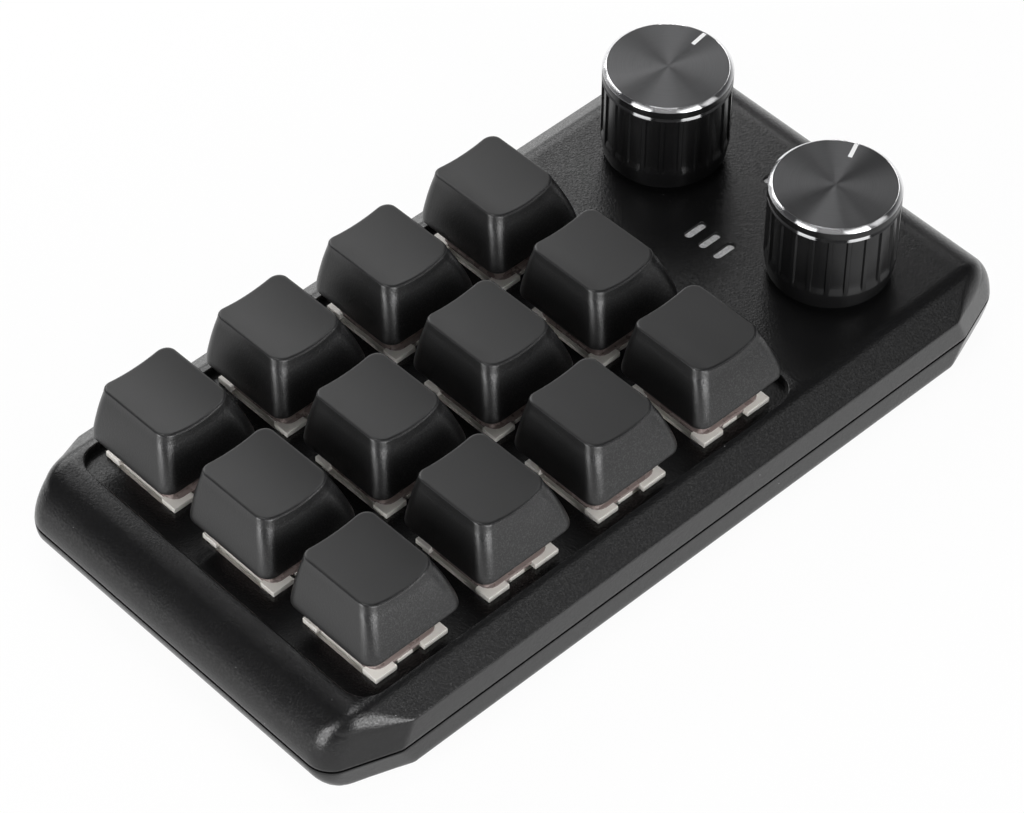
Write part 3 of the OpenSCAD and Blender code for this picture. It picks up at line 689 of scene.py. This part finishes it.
def case_rim(upper):
    """The outer surface of one shell as rings from the parting plane to the flat face."""
    sign = 1 if upper else -1
    start, inward = station_rays(SEAM_Z + sign * SEAM_GAP / 2)
    rings = []
    for a in rim_angles(upper):
        ray = inward * math.cos(a) + (0, 0, sign * math.sin(a))
        rings.append(start + ray * reach_out(start, ray, upper))
    # the parting edge is rounded in two steps below the first ring
    soft, part = 0.12, 0.29
    first = rings[0]
    rings[0] = first + (0, 0, sign * soft)
    rounded = first - inward * soft * part + (0, 0, sign * soft * part)
    rings = [first - inward * soft, rounded] + rings
    return np.concatenate(rings), ring_faces(len(rings), len(start))


def grown_field(g):
    """Plan outline of the recess around the keys, grown by g."""
    return round_rect(FIELD_X[0] - g, FIELD_Y[0] - g, FIELD_X[1] + g, FIELD_Y[1] + g, FIELD_R + g, 8)


def case_room():
    """Plan outline of the space inside, kept simple."""
    x, y = HALF_L - WALL, HALF_W - WALL - TAPER_W
    return round_rect(-x, -y, x, y, 3.0, 5)


def disc(spot, r, steps=48):
    """Points round a circle."""
    return arc_points(spot, r, 0, 360, steps)[:-1]


SLOT_L, SLOT_W, SLOT_PITCH = 4.2, 1.4, 3.1
SLOT_OUT = 8.75
SLOT_Y = middle("indicator_lenses")[1]
SLOT_SPOTS = [(KNOB_SPOT[1][0] + s * SLOT_OUT, SLOT_Y + n * SLOT_PITCH)
              for s in SIDES for n in (-1, 0, 1)]
BUSH_HOLE_R = 3.6
USB_LO, USB_HI = mm_box("usb_socket")
USB_MID = (USB_LO + USB_HI) / 2
USB_GAP = 0.3
FOOT_R, FOOT_GAP, FOOT_SINK = 5.0, 0.1, 0.2
HEAD_R, HEAD_HOLE_R, HEAD_DEEP = 2.1, 2.25, 1.65


def usb_tool():
    """The cable socket's opening, through the back wall."""
    w, h = (USB_HI[0] - USB_LO[0]) / 2 + USB_GAP, (USB_HI[2] - USB_LO[2]) / 2 + USB_GAP
    outline = round_rect(-w, -h, w, h, h - 0.02, 8)
    # place along Y and growth, from outside the wall to inside it
    rows = [(HALF_W + 1, 0.35), (HALF_W, 0.35), (HALF_W - 0.12, 0.14), (HALF_W - 0.35, 0.0),
            (HALF_W - 4, 0.0)]
    verts = []
    for y, g in rows:
        for px, pz in outline + np.sign(outline) * g:
            verts.append((USB_MID[0] + px, y, USB_MID[2] + pz))
    return scratch_object(verts, ring_faces(len(rows), len(outline)))


def slot_at(spot):
    """The outline of an indicator slot, as a function of its growth."""
    def outline(g):
        l, w = SLOT_L / 2 + g, SLOT_W / 2 + g
        return round_rect(spot[0] - l, spot[1] - w, spot[0] + l, spot[1] + w, w - 0.01, 6)
    return outline


def top_shell():
    """The upper shell: key field, switch holes, indicator slots, knob holes and socket opening."""
    shell = scratch_object(*case_rim(True))
    plate_under = PLATE_Z - PLATE_T
    cut(shell, [opening_tool(grown_field, PLATE_Z, TOP_Z, 0.22)])
    cut(shell, [prism(case_room(), 0, plate_under)])
    knob_room = round_rect(FIELD_X[1] + 1.5, 8 - HALF_W, HALF_L - 6, HALF_W - 8, 2.0, 4)
    cut(shell, [prism(knob_room, plate_under - 1, CEILING_Z)])
    half = SWITCH_HOLE / 2
    squares = [round_rect(x - half, y - half, x + half, y + half, 0.4, 3) for x, y in KEY_SPOT.values()]
    cut(shell, [prism(square, plate_under - 1, PLATE_Z + 1) for square in squares])
    mouths = [opening_tool(slot_at(s), CEILING_Z - 1, TOP_Z, 0.12) for s in SLOT_SPOTS]
    mouths += [opening_tool(lambda g, s=s: disc(s, BUSH_HOLE_R + g), CEILING_Z - 1, TOP_Z, 0.2)
               for s in KNOB_SPOT.values()]
    cut(shell, mouths + [usb_tool()])
    shell.data.transform(Matrix.Scale(MM, 4))
    shell.name = "top_shell_skin"
    finish_piece(shell, CASE_BLACK, "case", ["top_shell"], 38)


def foot_spots():
    """Plan places of the four feet."""
    x, y = mm_box("rubber_feet")[1][:2] - FOOT_R
    return [(sx * x, sy * y) for sx, sy in CORNERS]


def screw_spots():
    """Plan places of the four corner screws and the two between the keys and the knobs."""
    x, y = mm_box("case_screws")[1][:2] - HEAD_R
    between = [(KNOB_SPOT[1][0] - 16.4, sy * (HALF_W - 12.8)) for sy in SIDES]
    return [(sx * x, sy * y) for sx, sy in CORNERS] + between


def bottom_shell():
    """The lower shell with its lip: foot recesses, screw counterbores and socket opening."""
    shell = scratch_object(*case_rim(False))
    cut(shell, [prism(case_room(), UNDER_Z + FLOOR_T, SEAM_Z + 1)])
    recesses = [prism(disc(spot, FOOT_R + FOOT_GAP), UNDER_Z - 1, UNDER_Z + FOOT_SINK)
                for spot in foot_spots()]
    heads = []
    for spot in screw_spots():
        outlines = [disc(spot, r) for r in (HEAD_HOLE_R + 0.25, HEAD_HOLE_R, HEAD_HOLE_R)]
        heights = [UNDER_Z - 0.25, UNDER_Z + 0.25, UNDER_Z + HEAD_DEEP]
        heads.append(scratch_object(*stack(outlines, heights)))
    cut(shell, recesses + heads + [usb_tool()])
    locating_lip()
    shell.data.transform(Matrix.Scale(MM, 4))
    shell.name = "bottom_shell_skin"
    finish_piece(shell, CASE_BLACK, "case", ["bottom_shell"], 38)


def locating_lip():
    """The bottom shell's lip, which shows black through the parting gap."""
    z_low, z_high = SEAM_Z - 1.2, SEAM_Z + 1.5
    origin, ray = station_rays(SEAM_Z)
    reach = reach_out(origin, ray, True)
    section = ((1.25, z_low), (1.25, z_high - 0.2), (1.45, z_high), (2.0, z_high), (2.0, z_low))
    rings = []
    for inset, z in section:
        ring = origin + ray * (reach - inset)
        ring[:, 2] = z
        rings.append(ring)
    n, last = len(origin), len(section) - 1
    faces = ring_faces(len(section), n, closed_ends=False)
    for i in range(n):
        j = (i + 1) % n
        faces.append((last * n + i, last * n + j, j, i))
    make_piece("locating_lip", np.concatenate(rings), faces, CASE_BLACK, "case", "case")


top_shell()
bottom_shell()


# ---- keys

CAP_BASE = (CAP_HI[0] - CAP_LO[0]) / 2
CAP_Z = CAP_LO[2]
TOP_SIDE = 6.38
TOP_FRONT, TOP_BACK = -5.75, 8.65
CAP_FRONT_Z, CAP_BACK_Z = CAP_HI[2], CAP_HI[2] - 0.25
DISH_FRONT, DISH_BACK = 0.95, 0.8


def cap_top_height(x, y):
    """Height of a keycap's top above the skirt: leaning forward and dished across."""
    t = (y - TOP_FRONT) / (TOP_BACK - TOP_FRONT)
    rim = CAP_FRONT_Z + (CAP_BACK_Z - CAP_FRONT_Z) * t - CAP_Z
    dish = DISH_FRONT + (DISH_BACK - DISH_FRONT) * t
    r = (TOP_SIDE ** 2 + dish ** 2) / (2 * dish)
    return rim - dish + r - np.sqrt(r * r - np.minimum(x * x, TOP_SIDE ** 2 * 1.2))


def side_lean(s):
    """How far in a side has come at share s of its height: upright at the skirt, then leaning."""
    start, soft = 0.10, 0.035
    return soft * math.log1p(math.exp((s - start) / soft)) / (1 - start)


def cap_ring(s, inset):
    """Outline of the cap at share s of its height, from the skirt to the top.
    The dish leaves the middle of the front lower, so it has come in less there."""
    t = side_lean(s)
    swell = 0.22 * math.sin(math.pi * min(t, 1))
    side = CAP_BASE + (TOP_SIDE - CAP_BASE) * t + swell - inset
    front = -CAP_BASE + (TOP_FRONT + CAP_BASE) * t - swell + inset
    back = CAP_BASE + (TOP_BACK - CAP_BASE) * t - inset
    r = max(0.3, 2.2 - 0.3 * t - inset * 0.6)
    ring = round_rect(-side, front, side, back, r, 8, 10)
    across = np.clip(1 - (ring[:, 0] / (side - r * 0.5)) ** 2, 0, 1)
    ring[:, 1] -= 0.42 * DISH_FRONT * max(t, 0) * across * (ring[:, 1] < 0)
    return ring


def keycap_shape():
    """A keycap: hollow, skirt, leaning sides, rolled top edge and dished top."""
    edge, wall, roof_t = 0.42, 1.3, 2.1
    tall = CAP_BACK_Z - CAP_Z
    roof = tall - roof_t
    inner = roof / tall

    def ring_at(share, inset, height):
        """height is in millimetres, or is worked out from the outline's points."""
        x, y = cap_ring(share, inset).T
        return np.column_stack([x, y, height(x, y) if callable(height) else np.full(len(x), height)])

    # the hollow from its roof down, then the skirt, which is rounded under
    under = ((inner, wall + 0.6, roof), (inner, wall + 0.15, roof), (inner * 0.97, wall, roof - 0.3),
             (0.05, wall, 0.3), (0.0, wall - 0.1, 0.0),
             (0.0, 0.35, 0.0), (0.0, 0.16, 0.08), (0.0, 0.05, 0.22))
    rings = [ring_at(*row) for row in under]
    # the sides
    for s in (0.045, 0.07, 0.09, 0.11, 0.13, 0.155, 0.19, 0.24, 0.32, 0.42, 0.53, 0.64, 0.75, 0.85,
              0.925):
        rings.append(ring_at(s, 0.0, lambda x, y, s=s: s * (cap_top_height(x, y) - edge)))
    # the rolled edge
    for a in np.radians(np.linspace(0, 90, 6)):
        c, s = math.cos(a), math.sin(a)
        rings.append(ring_at(0.97 + 0.03 * s, edge * 0.8 * (1 - c),
                             lambda x, y, s=s: cap_top_height(x, y) - edge * (1 - s) * 0.9))
    # the dished top, drawn together towards its middle
    last = rings[-1][:, :2]
    centre = np.array([0.0, (TOP_FRONT + TOP_BACK) / 2])
    for share in (0.985, 0.94, 0.85, 0.72, 0.58, 0.44, 0.30, 0.17, 0.07):
        x, y = (centre + (last - centre) * share).T
        rings.append(np.column_stack([x, y, cap_top_height(x, y)]))
    verts = np.concatenate(rings)
    verts[:, 2] += CAP_Z
    return verts, ring_faces(len(rings), len(last))


def post_shape():
    """The post under a keycap, with a cross-shaped socket."""
    z0, z1 = UPPER_TOP + 0.3, CAP_BACK_Z - 1.9
    post_r, arm, half_slit, deep = 2.7, 2.03, 0.61, 3.9
    outlines = [disc((0, 0), r, 40) for r in (post_r - 0.2, post_r, post_r)]
    post = scratch_object(*stack(outlines, [z0, z0 + 0.2, z1]))
    cut(post, [prism(round_rect(-a, -b, a, b, 0.05, 1), z0 - 1, z0 + deep)
               for a, b in ((arm, half_slit), (half_slit, arm))])
    return shape_of(post)


CAP_SHAPE = joined([keycap_shape(), post_shape()])
for key, spot in KEY_SPOT.items():
    make_piece("keycap_skin_" + key, *moved(CAP_SHAPE, (spot[0], spot[1], 0)), CAP_BLACK,
               "key_" + key, "cap", ["keycap_" + key], 40)


# ---- switches

FLANGE_X, FLANGE_Y = 13.8 / 2, 15.6 / 2
# faces that would lie on each other are set apart by this
NUDGE = 0.01


def square_walls(out, inner, z0, z1, soft):
    """Four walls round a square opening, with their ends inside each other."""
    made = []
    for s in SIDES:
        made.append(box_mesh((s * inner, -out, z0), (s * out, out, z1), soft))
        made.append(box_mesh((-inner - 0.3, s * inner, z0 + NUDGE),
                             (inner + 0.3, s * (out - NUDGE), z1 - NUDGE), soft))
    return made


def lower_housing_shape():
    """A switch's lower housing: cup, flange with clip notches and corner tabs, and guide tube."""
    z0, z1 = PLATE_Z, LOWER_TOP
    soft, set_back, well = 0.12, 0.8, 4.6
    core = FLANGE_X - set_back - 0.05
    parts = square_walls(FLANGE_X, well, BOARD_TOP, z0 - 0.8, 0.2)
    parts += square_walls(core, well, z0 - 1.5, z0 + 0.1, 0.2)
    parts += square_walls(well + 0.4, 1.3, BOARD_TOP + 0.02, BOARD_TOP + 1.2, 0.0)
    # flange along the front and back, with a notch on each side of its middle
    front = ((-FLANGE_X, -2.85, 0.0, 0.0), (-2.05, 0.85, 0.75, 0.22), (2.3, FLANGE_X, 0.0, 0.0))
    boxes = []
    for s in SIDES:
        boxes += [((x0, s * (FLANGE_Y - back), z0), (x1, s * (FLANGE_Y - 2.2), z1 - drop))
                  for x0, x1, back, drop in front]
        # side strips stand back from the corner tabs, with two small gaps
        boxes += [((s * (FLANGE_X - set_back), y0, z0 + 0.3), (s * (FLANGE_X - 2.0), y1, z1 - 0.12))
                  for y0, y1 in ((-4.9, -1.95), (-1.4, 2.5), (3.0, 4.9))]
        # the corners between the tabs and the strips
        boxes += [((s * (FLANGE_X - NUDGE), t * (FLANGE_Y - 1.0), z0 + NUDGE),
                   (s * (FLANGE_X - 2.2), t * 4.85, z1 - NUDGE)) for t in SIDES]
        boxes.append(((2.4 - FLANGE_X, s * well, z0), (FLANGE_X - 2.4, s * (FLANGE_Y - 1.2), z1 - 0.3)))
    parts += [box_mesh(*box, soft) for box in boxes]
    # radius and height above the board: spigot through it, collar, tube, and the bore inside
    tube = ((0, -3), (1.8, -3), (2.0, -2.7), (2.0, 1.15), (1.8, 1.15), (1.8, 3.7), (1.0, 3.7),
            (1.0, -2), (0, -2))
    return joined(parts + [turned([(r, BOARD_TOP + z) for r, z in tube], 32)])


def upper_housing_shape():
    """A switch's upper housing: a drafted box with an opening for the stem and a lamp window."""
    z0, z1 = LOWER_TOP - 0.4, UPPER_TOP
    rim_z = LOWER_TOP + 0.06
    # half width, half depth, corner radius and height: a flat rim, then the drafted box
    rows = [(6.3, 6.9, 1.9, z0), (6.3, 6.9, 1.9, rim_z - 0.12), (6.18, 6.78, 1.8, rim_z),
            (6.1, 6.15, 0.9, rim_z), (5.95, 6.0, 0.6, rim_z + 0.15), (5.38, 5.38, 0.9, z1 - 0.25),
            (5.2, 5.2, 0.85, z1 - 0.06), (5.0, 5.0, 0.7, z1)]
    block = scratch_object(*stack([round_rect(-w, -d, w, d, r, 4) for w, d, r, _ in rows],
                                  [row[-1] for row in rows]))
    stem_hole = round_rect(-3.95, -3.35, 3.95, 3.35, 0.5, 3)
    lamp_window = round_rect(-1.6, 3.75, 1.6, 5.0, 0.3, 3)
    hollow = round_rect(-4.9, -4.9, 4.9, 4.9, 0.5, 3)
    cut(block, [prism(stem_hole, z0 - 1, z1 + 1), prism(lamp_window, z1 - 0.6, z1 + 1)])
    cut(block, [prism(hollow, z0 - 1, z1 - 1.0)])
    return shape_of(block)


def at_keys(shape):
    """One shape at all twelve keys."""
    return joined([moved(shape, (x, y, 0)) for x, y in KEY_SPOT.values()])


make_piece("lower_housings", *at_keys(lower_housing_shape()), CREAM, "case", "cream",
           ["switch_lower_housings"], 50)
make_piece("upper_housings", *at_keys(upper_housing_shape()), SMOKE, "case", "smoke",
           ["switch_upper_housings"], 40)

WIRE_R, COIL_TURNS = 0.13, 6


def spring_shape(z0, z1, mean_r):
    """A coil spring, wound closer at its ends."""
    steps, sides = 22, 8
    rings = COIL_TURNS * steps
    verts = []
    for n in range(rings + 1):
        t = n / rings
        a = 2 * math.pi * COIL_TURNS * t
        rise = smooth_step(0.0, 1.0, t) * 0.35 + t * 0.65
        z = z0 + WIRE_R + (z1 - z0 - 2 * WIRE_R) * rise
        for s in range(sides):
            b = 2 * math.pi * s / sides
            d = mean_r + WIRE_R * math.cos(b)
            verts.append((d * math.cos(a), d * math.sin(a), z + WIRE_R * math.sin(b)))
    return np.array(verts), ring_faces(rings + 1, sides)


for key, spot in KEY_SPOT.items():
    lo, hi = mm_box("key_spring_" + key)
    coil = spring_shape(lo[2], hi[2], (hi[0] - lo[0]) / 2 - WIRE_R)
    piece = make_piece("spring_wire_" + key, *moved(coil, (spot[0], spot[1], 0)), SPRING_STEEL,
                       "case", "spring", ["key_spring_" + key], 60, False)
    spot[0] * MM
    spot[1] * MM
    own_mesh(piece)


# ---- knobs

FLUTES = 22
BORE_R = KNOB_R - 2.2


def knob_profile():
    """Half outline of a knob from the roof of its bore to the middle of its top:
    radius, height, and how much the flutes cut in there."""
    r, h = KNOB_R, KNOB_H
    # bore and lower edge
    rows = [(0, 15.0, 0), (BORE_R, 15.0, 0), (BORE_R, 0.2, 0), (BORE_R + 0.15, 0.0, 0), (9.45, 0.0, 0),
            (9.62, 0.06, 0), (9.72, 0.22, 0)]
    # tapered collar, then where the flutes begin
    rows += [(9.72 + 0.46 * z / 2.9, z, 0) for z in np.linspace(0.6, 2.9, 6)]
    rows += [(r, 3.10, 0), (r, 3.2, 0.0), (r, 3.5, 0.16), (r, 3.9, 0.5), (r, 4.3, 0.84), (r, 4.6, 1)]
    rows += [(r, z, 1) for z in np.linspace(5.5, 13.6, 7)]
    # where the flutes end, the groove, and the chamfered rim
    rows += [(r, 14.28, 1), (r, 14.42, 0.55), (r, 14.52, 0), (r, 14.60, 0), (r - 0.02, 14.63, 0),
             (r - 0.26, 14.88, 0), (r - 0.28, 14.92, 0), (r - 0.26, 14.96, 0), (r - 0.02, 15.21, 0),
             (r, 15.24, 0), (r, 16.36, 0), (r - 0.02, 16.44, 0), (r - 0.04, 16.47, 0),
             (r - 0.63, h - 0.02, 0), (r - 0.67, h, 0), (r - 0.72, h - 0.03, 0)]
    # spun top
    return rows + [(ring, h - 0.03, 0) for ring in (9.3, 8.6, 7.0, 5.0, 3.0, 1.2, 0.0)]


def knob_shape():
    """A knob's shell, turned, with flat-bottomed flutes between narrow ridges."""
    per_flute, half_width, depth = 16, 0.40, 0.32
    steps = FLUTES * per_flute
    share = (np.arange(per_flute) + 0.5) / per_flute - 0.5
    dip = 1 - smooth_step(half_width - 0.045, half_width, np.abs(share))
    flute = np.tile(dip, FLUTES) * depth
    angles = (np.arange(steps) + 0.5) * 2 * math.pi / steps
    return stitched([turned_ring(r - flute * amount, z, angles) for r, z, amount in knob_profile()])


POINTER_ANGLE = {1: 8.0, 2: 24.0}
KNOB_SHAPE = knob_shape()
for n, spot in KNOB_SPOT.items():
    place = (spot[0], spot[1], KNOB_LO[2])
    angle = math.radians(POINTER_ANGLE[n])
    turn = np.array([[math.cos(angle), -math.sin(angle), 0], [math.sin(angle), math.cos(angle), 0],
                     [0, 0, 1]])
    finish = knob_finish(f"knob_{n}_anodised", spot, KNOB_HI[2])
    make_piece(f"knob_{n}_skin", KNOB_SHAPE[0] @ turn.T + place, KNOB_SHAPE[1], finish,
               f"knob_{n}", "knob", [f"knob_{n}_shell"], 28)
    verts, faces = box_mesh((6.3, -0.33, KNOB_H - 0.15), (9.40, 0.33, KNOB_H), 0.02)
    make_piece(f"pointer_{n}", verts @ turn.T + place, faces, POINTER, f"knob_{n}", "knob", (), 40)


# ---- feet, socket and small parts

def foot_shape():
    """A rubber foot with a shallow hollow under it."""
    profile = [(0, 0.25), (2.6, 0.25), (3.0, 0.0), (4.5, 0.0), (4.85, 0.15), (FOOT_R, 0.5),
               (FOOT_R, UNDER_Z + FOOT_SINK), (0, UNDER_Z + FOOT_SINK)]
    return turned(profile, 64)


FEET = joined([moved(foot_shape(), (x, y, 0)) for x, y in foot_spots()])
make_piece("rubber_pads", *FEET, RUBBER, "case", "rubber", ["rubber_feet"], 40)


def lay_back(part):
    """Turns a stack built along +Z to run along -Y from the back edge."""
    v = np.asarray(part[0], float)
    return np.column_stack([v[:, 0], -v[:, 2], v[:, 1]]), part[1]


def usb_shape():
    """A drawn steel shell with a rolled lip, and a tongue with contacts."""
    w, h = (USB_HI[0] - USB_LO[0]) / 2, (USB_HI[2] - USB_LO[2]) / 2
    depth = USB_HI[1] - USB_LO[1]
    t = 0.3
    # inset and depth: the outside, the lip, and the inside
    rows = [(0.0, depth), (0.0, 0.12), (0.06, 0.03), (0.15, 0.0), (t - 0.06, 0.03), (t, 0.12),
            (t, depth - 1.0)]
    outlines = [round_rect(-w + g, -h + g, w - g, h - g, h - g - 0.01, 8) for g, z in rows]
    shell = stack(outlines, [z for g, z in rows])
    tongue = box_mesh((-3.35, -0.35, 0.9), (3.35, 0.35, depth - 0.9), 0.1)
    fingers = [box_mesh((x - 0.13, s * 0.36 - 0.03, 1.1), (x + 0.13, s * 0.36 + 0.03, 5.0))
               for x in np.linspace(-2.75, 2.75, 12) for s in SIDES]
    back = (USB_MID[0], USB_HI[1], USB_MID[2])
    return [moved(lay_back(p), back) for p in (shell, tongue, joined(fingers))]


socket, tongue, fingers = usb_shape()
make_piece("usb_shell", *socket, STEEL, "case", "steel", ["usb_socket"], 40)
make_piece("usb_tongue", *tongue, CHIP_BLACK, "case", "chips", (), 40)
make_piece("usb_contacts", *fingers, GILT, "case", "contact", (), 40)

PLAIN_FINISH = {
    "circuit_board": BOARD_GREEN, "board_parts": CHIP_BLACK, "switch_contacts": GILT,
    "indicator_lenses": LENS, "encoder_washers": STEEL, "encoder_nuts": STEEL, "case_screws": STEEL,
}
for n in (1, 2):
    PLAIN_FINISH[f"encoder_{n}_housing"] = STEEL
    PLAIN_FINISH[f"encoder_{n}_shaft"] = STEEL
    PLAIN_FINISH[f"encoder_{n}_plunger"] = CREAM
    PLAIN_FINISH[f"knob_{n}_insert"] = INSERT_BLACK
for key in KEYS:
    PLAIN_FINISH["key_stem_" + key] = STEM_BLUE
for node, finish in PLAIN_FINISH.items():
    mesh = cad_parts[node].data
    mesh.materials.clear()
    mesh.materials.append(finish)


# ---- floor, lights and camera

def floor_finish():
    """A pale floor that looks white to the camera and still takes the object's shadow."""
    f = Finish("pale_floor")
    diffuse = f.start.node("ShaderNodeBsdfDiffuse", Color=(0.86, 0.86, 0.86))
    glow = f.start.node("ShaderNodeEmission", Color=(1.0, 1.0, 1.0), Strength=1.0)
    seen, glossy, passed = (f.start.node("ShaderNodeLightPath", out=f"Is {ray} Ray")
                            for ray in ("Camera", "Glossy", "Transmission"))
    share = seen.math("MAXIMUM", seen, glossy.math("MAXIMUM", glossy, passed)) * 0.95
    return f.output(f.start.node("ShaderNodeMixShader", Fac=share, i1=diffuse, i2=glow))


bpy.ops.mesh.primitive_plane_add(size=6.0, location=(0, 0, -0.0002))
floor = bpy.context.object
floor.name = "floor"
floor.data.materials.append(floor_finish())


def soft_light(name, place, target, width, power, height):
    """A soft box aimed at a target."""
    lamp = bpy.data.lights.new(name, "AREA")
    lamp.shape = "RECTANGLE"
    lamp.size, lamp.size_y = width, height
    lamp.energy = power
    holder = bpy.data.objects.new(name, lamp)
    bpy.context.scene.collection.objects.link(holder)
    holder.location = place
    aim = Vector(target) - Vector(place)
    holder.rotation_euler = aim.to_track_quat("-Z", "Y").to_euler()


# soft boxes: name, place, target, width, power and height. The large ones are over the back,
# overhead, on the left and in front, with smaller ones between them
for lamp in (
    ("over_back", (0.22, 0.44, 0.30), (0.22, 0.44, 0), 0.70, 2.3, 0.42),
    ("back_top", (0.20, 0.28, 0.46), (0, 0, 0.02), 0.26, 0.12, 0.20),
    ("back_low", (0.20, 0.60, 0.22), (0, 0, 0.02), 0.34, 0.45, 0.20),
    ("overhead", (0.02, 0.02, 0.62), (0, 0, 0), 0.24, 0.85, 0.24),
    ("box_left", (-0.62, -0.04, 0.21), (-0.02, 0, 0.02), 0.32, 2.8, 0.40),
    ("box_front", (-0.02, -0.62, 0.21), (-0.02, 0, 0.02), 0.34, 2.9, 0.40),
    ("front_top", (0.0, -0.45, 0.46), (0, 0, 0.02), 0.34, 0.30, 0.18),
    ("left_top", (-0.45, 0.02, 0.46), (0, 0, 0.02), 0.34, 0.28, 0.18),
    ("front_right", (0.31, -0.40, 0.40), (0, 0, 0.02), 0.22, 0.12, 0.22),
    ("near_fill", (-0.40, -0.42, 0.64), (0, 0, 0), 0.5, 0.16, 0.5),
):
    soft_light(*lamp)


def studio():
    """The room: pale near the floor, dark higher up, and white where the camera looks past it all."""
    world = bpy.data.worlds.new("studio")
    bpy.context.scene.world = world
    world.use_nodes = True
    tree = world.node_tree
    tree.nodes.clear()
    start = Wire(tree, None)
    height = start.node("ShaderNodeTexCoord").split()[2]
    wall = height.between(0.42, 0.12).mix((0.04, 0.04, 0.042), (0.45, 0.45, 0.455))
    seen = start.node("ShaderNodeLightPath", out="Is Camera Ray")
    room = start.node("ShaderNodeBackground", Color=wall, Strength=1.0)
    white = start.node("ShaderNodeBackground", Color=(1.0, 1.0, 1.0), Strength=1.0)
    mixed = start.node("ShaderNodeMixShader", Fac=seen, i1=room, i2=white)
    end = tree.nodes.new("ShaderNodeOutputWorld")
    tree.links.new(mixed.source, end.inputs[0])


studio()

# camera, solved from the photo: place in millimetres, turn in degrees, lens for a 36 mm sensor
CAMERA_PLACE = (-302.36, -311.12, 477.78)
CAMERA_TURN = (42.5595, -0.4321, -43.4661)
CAMERA_LENS, SENSOR_W = 148.67, 36.0
camera_data = bpy.data.cameras.new("camera")
camera_data.sensor_width = SENSOR_W
camera_data.lens = CAMERA_LENS
camera_data.clip_start = 0.01
camera = bpy.data.objects.new("camera", camera_data)
bpy.context.scene.collection.objects.link(camera)
camera.location = Vector(CAMERA_PLACE) * MM
camera.rotation_euler = [math.radians(a) for a in CAMERA_TURN]
bpy.context.scene.camera = camera
bpy.context.scene.view_settings.view_transform = "Standard"
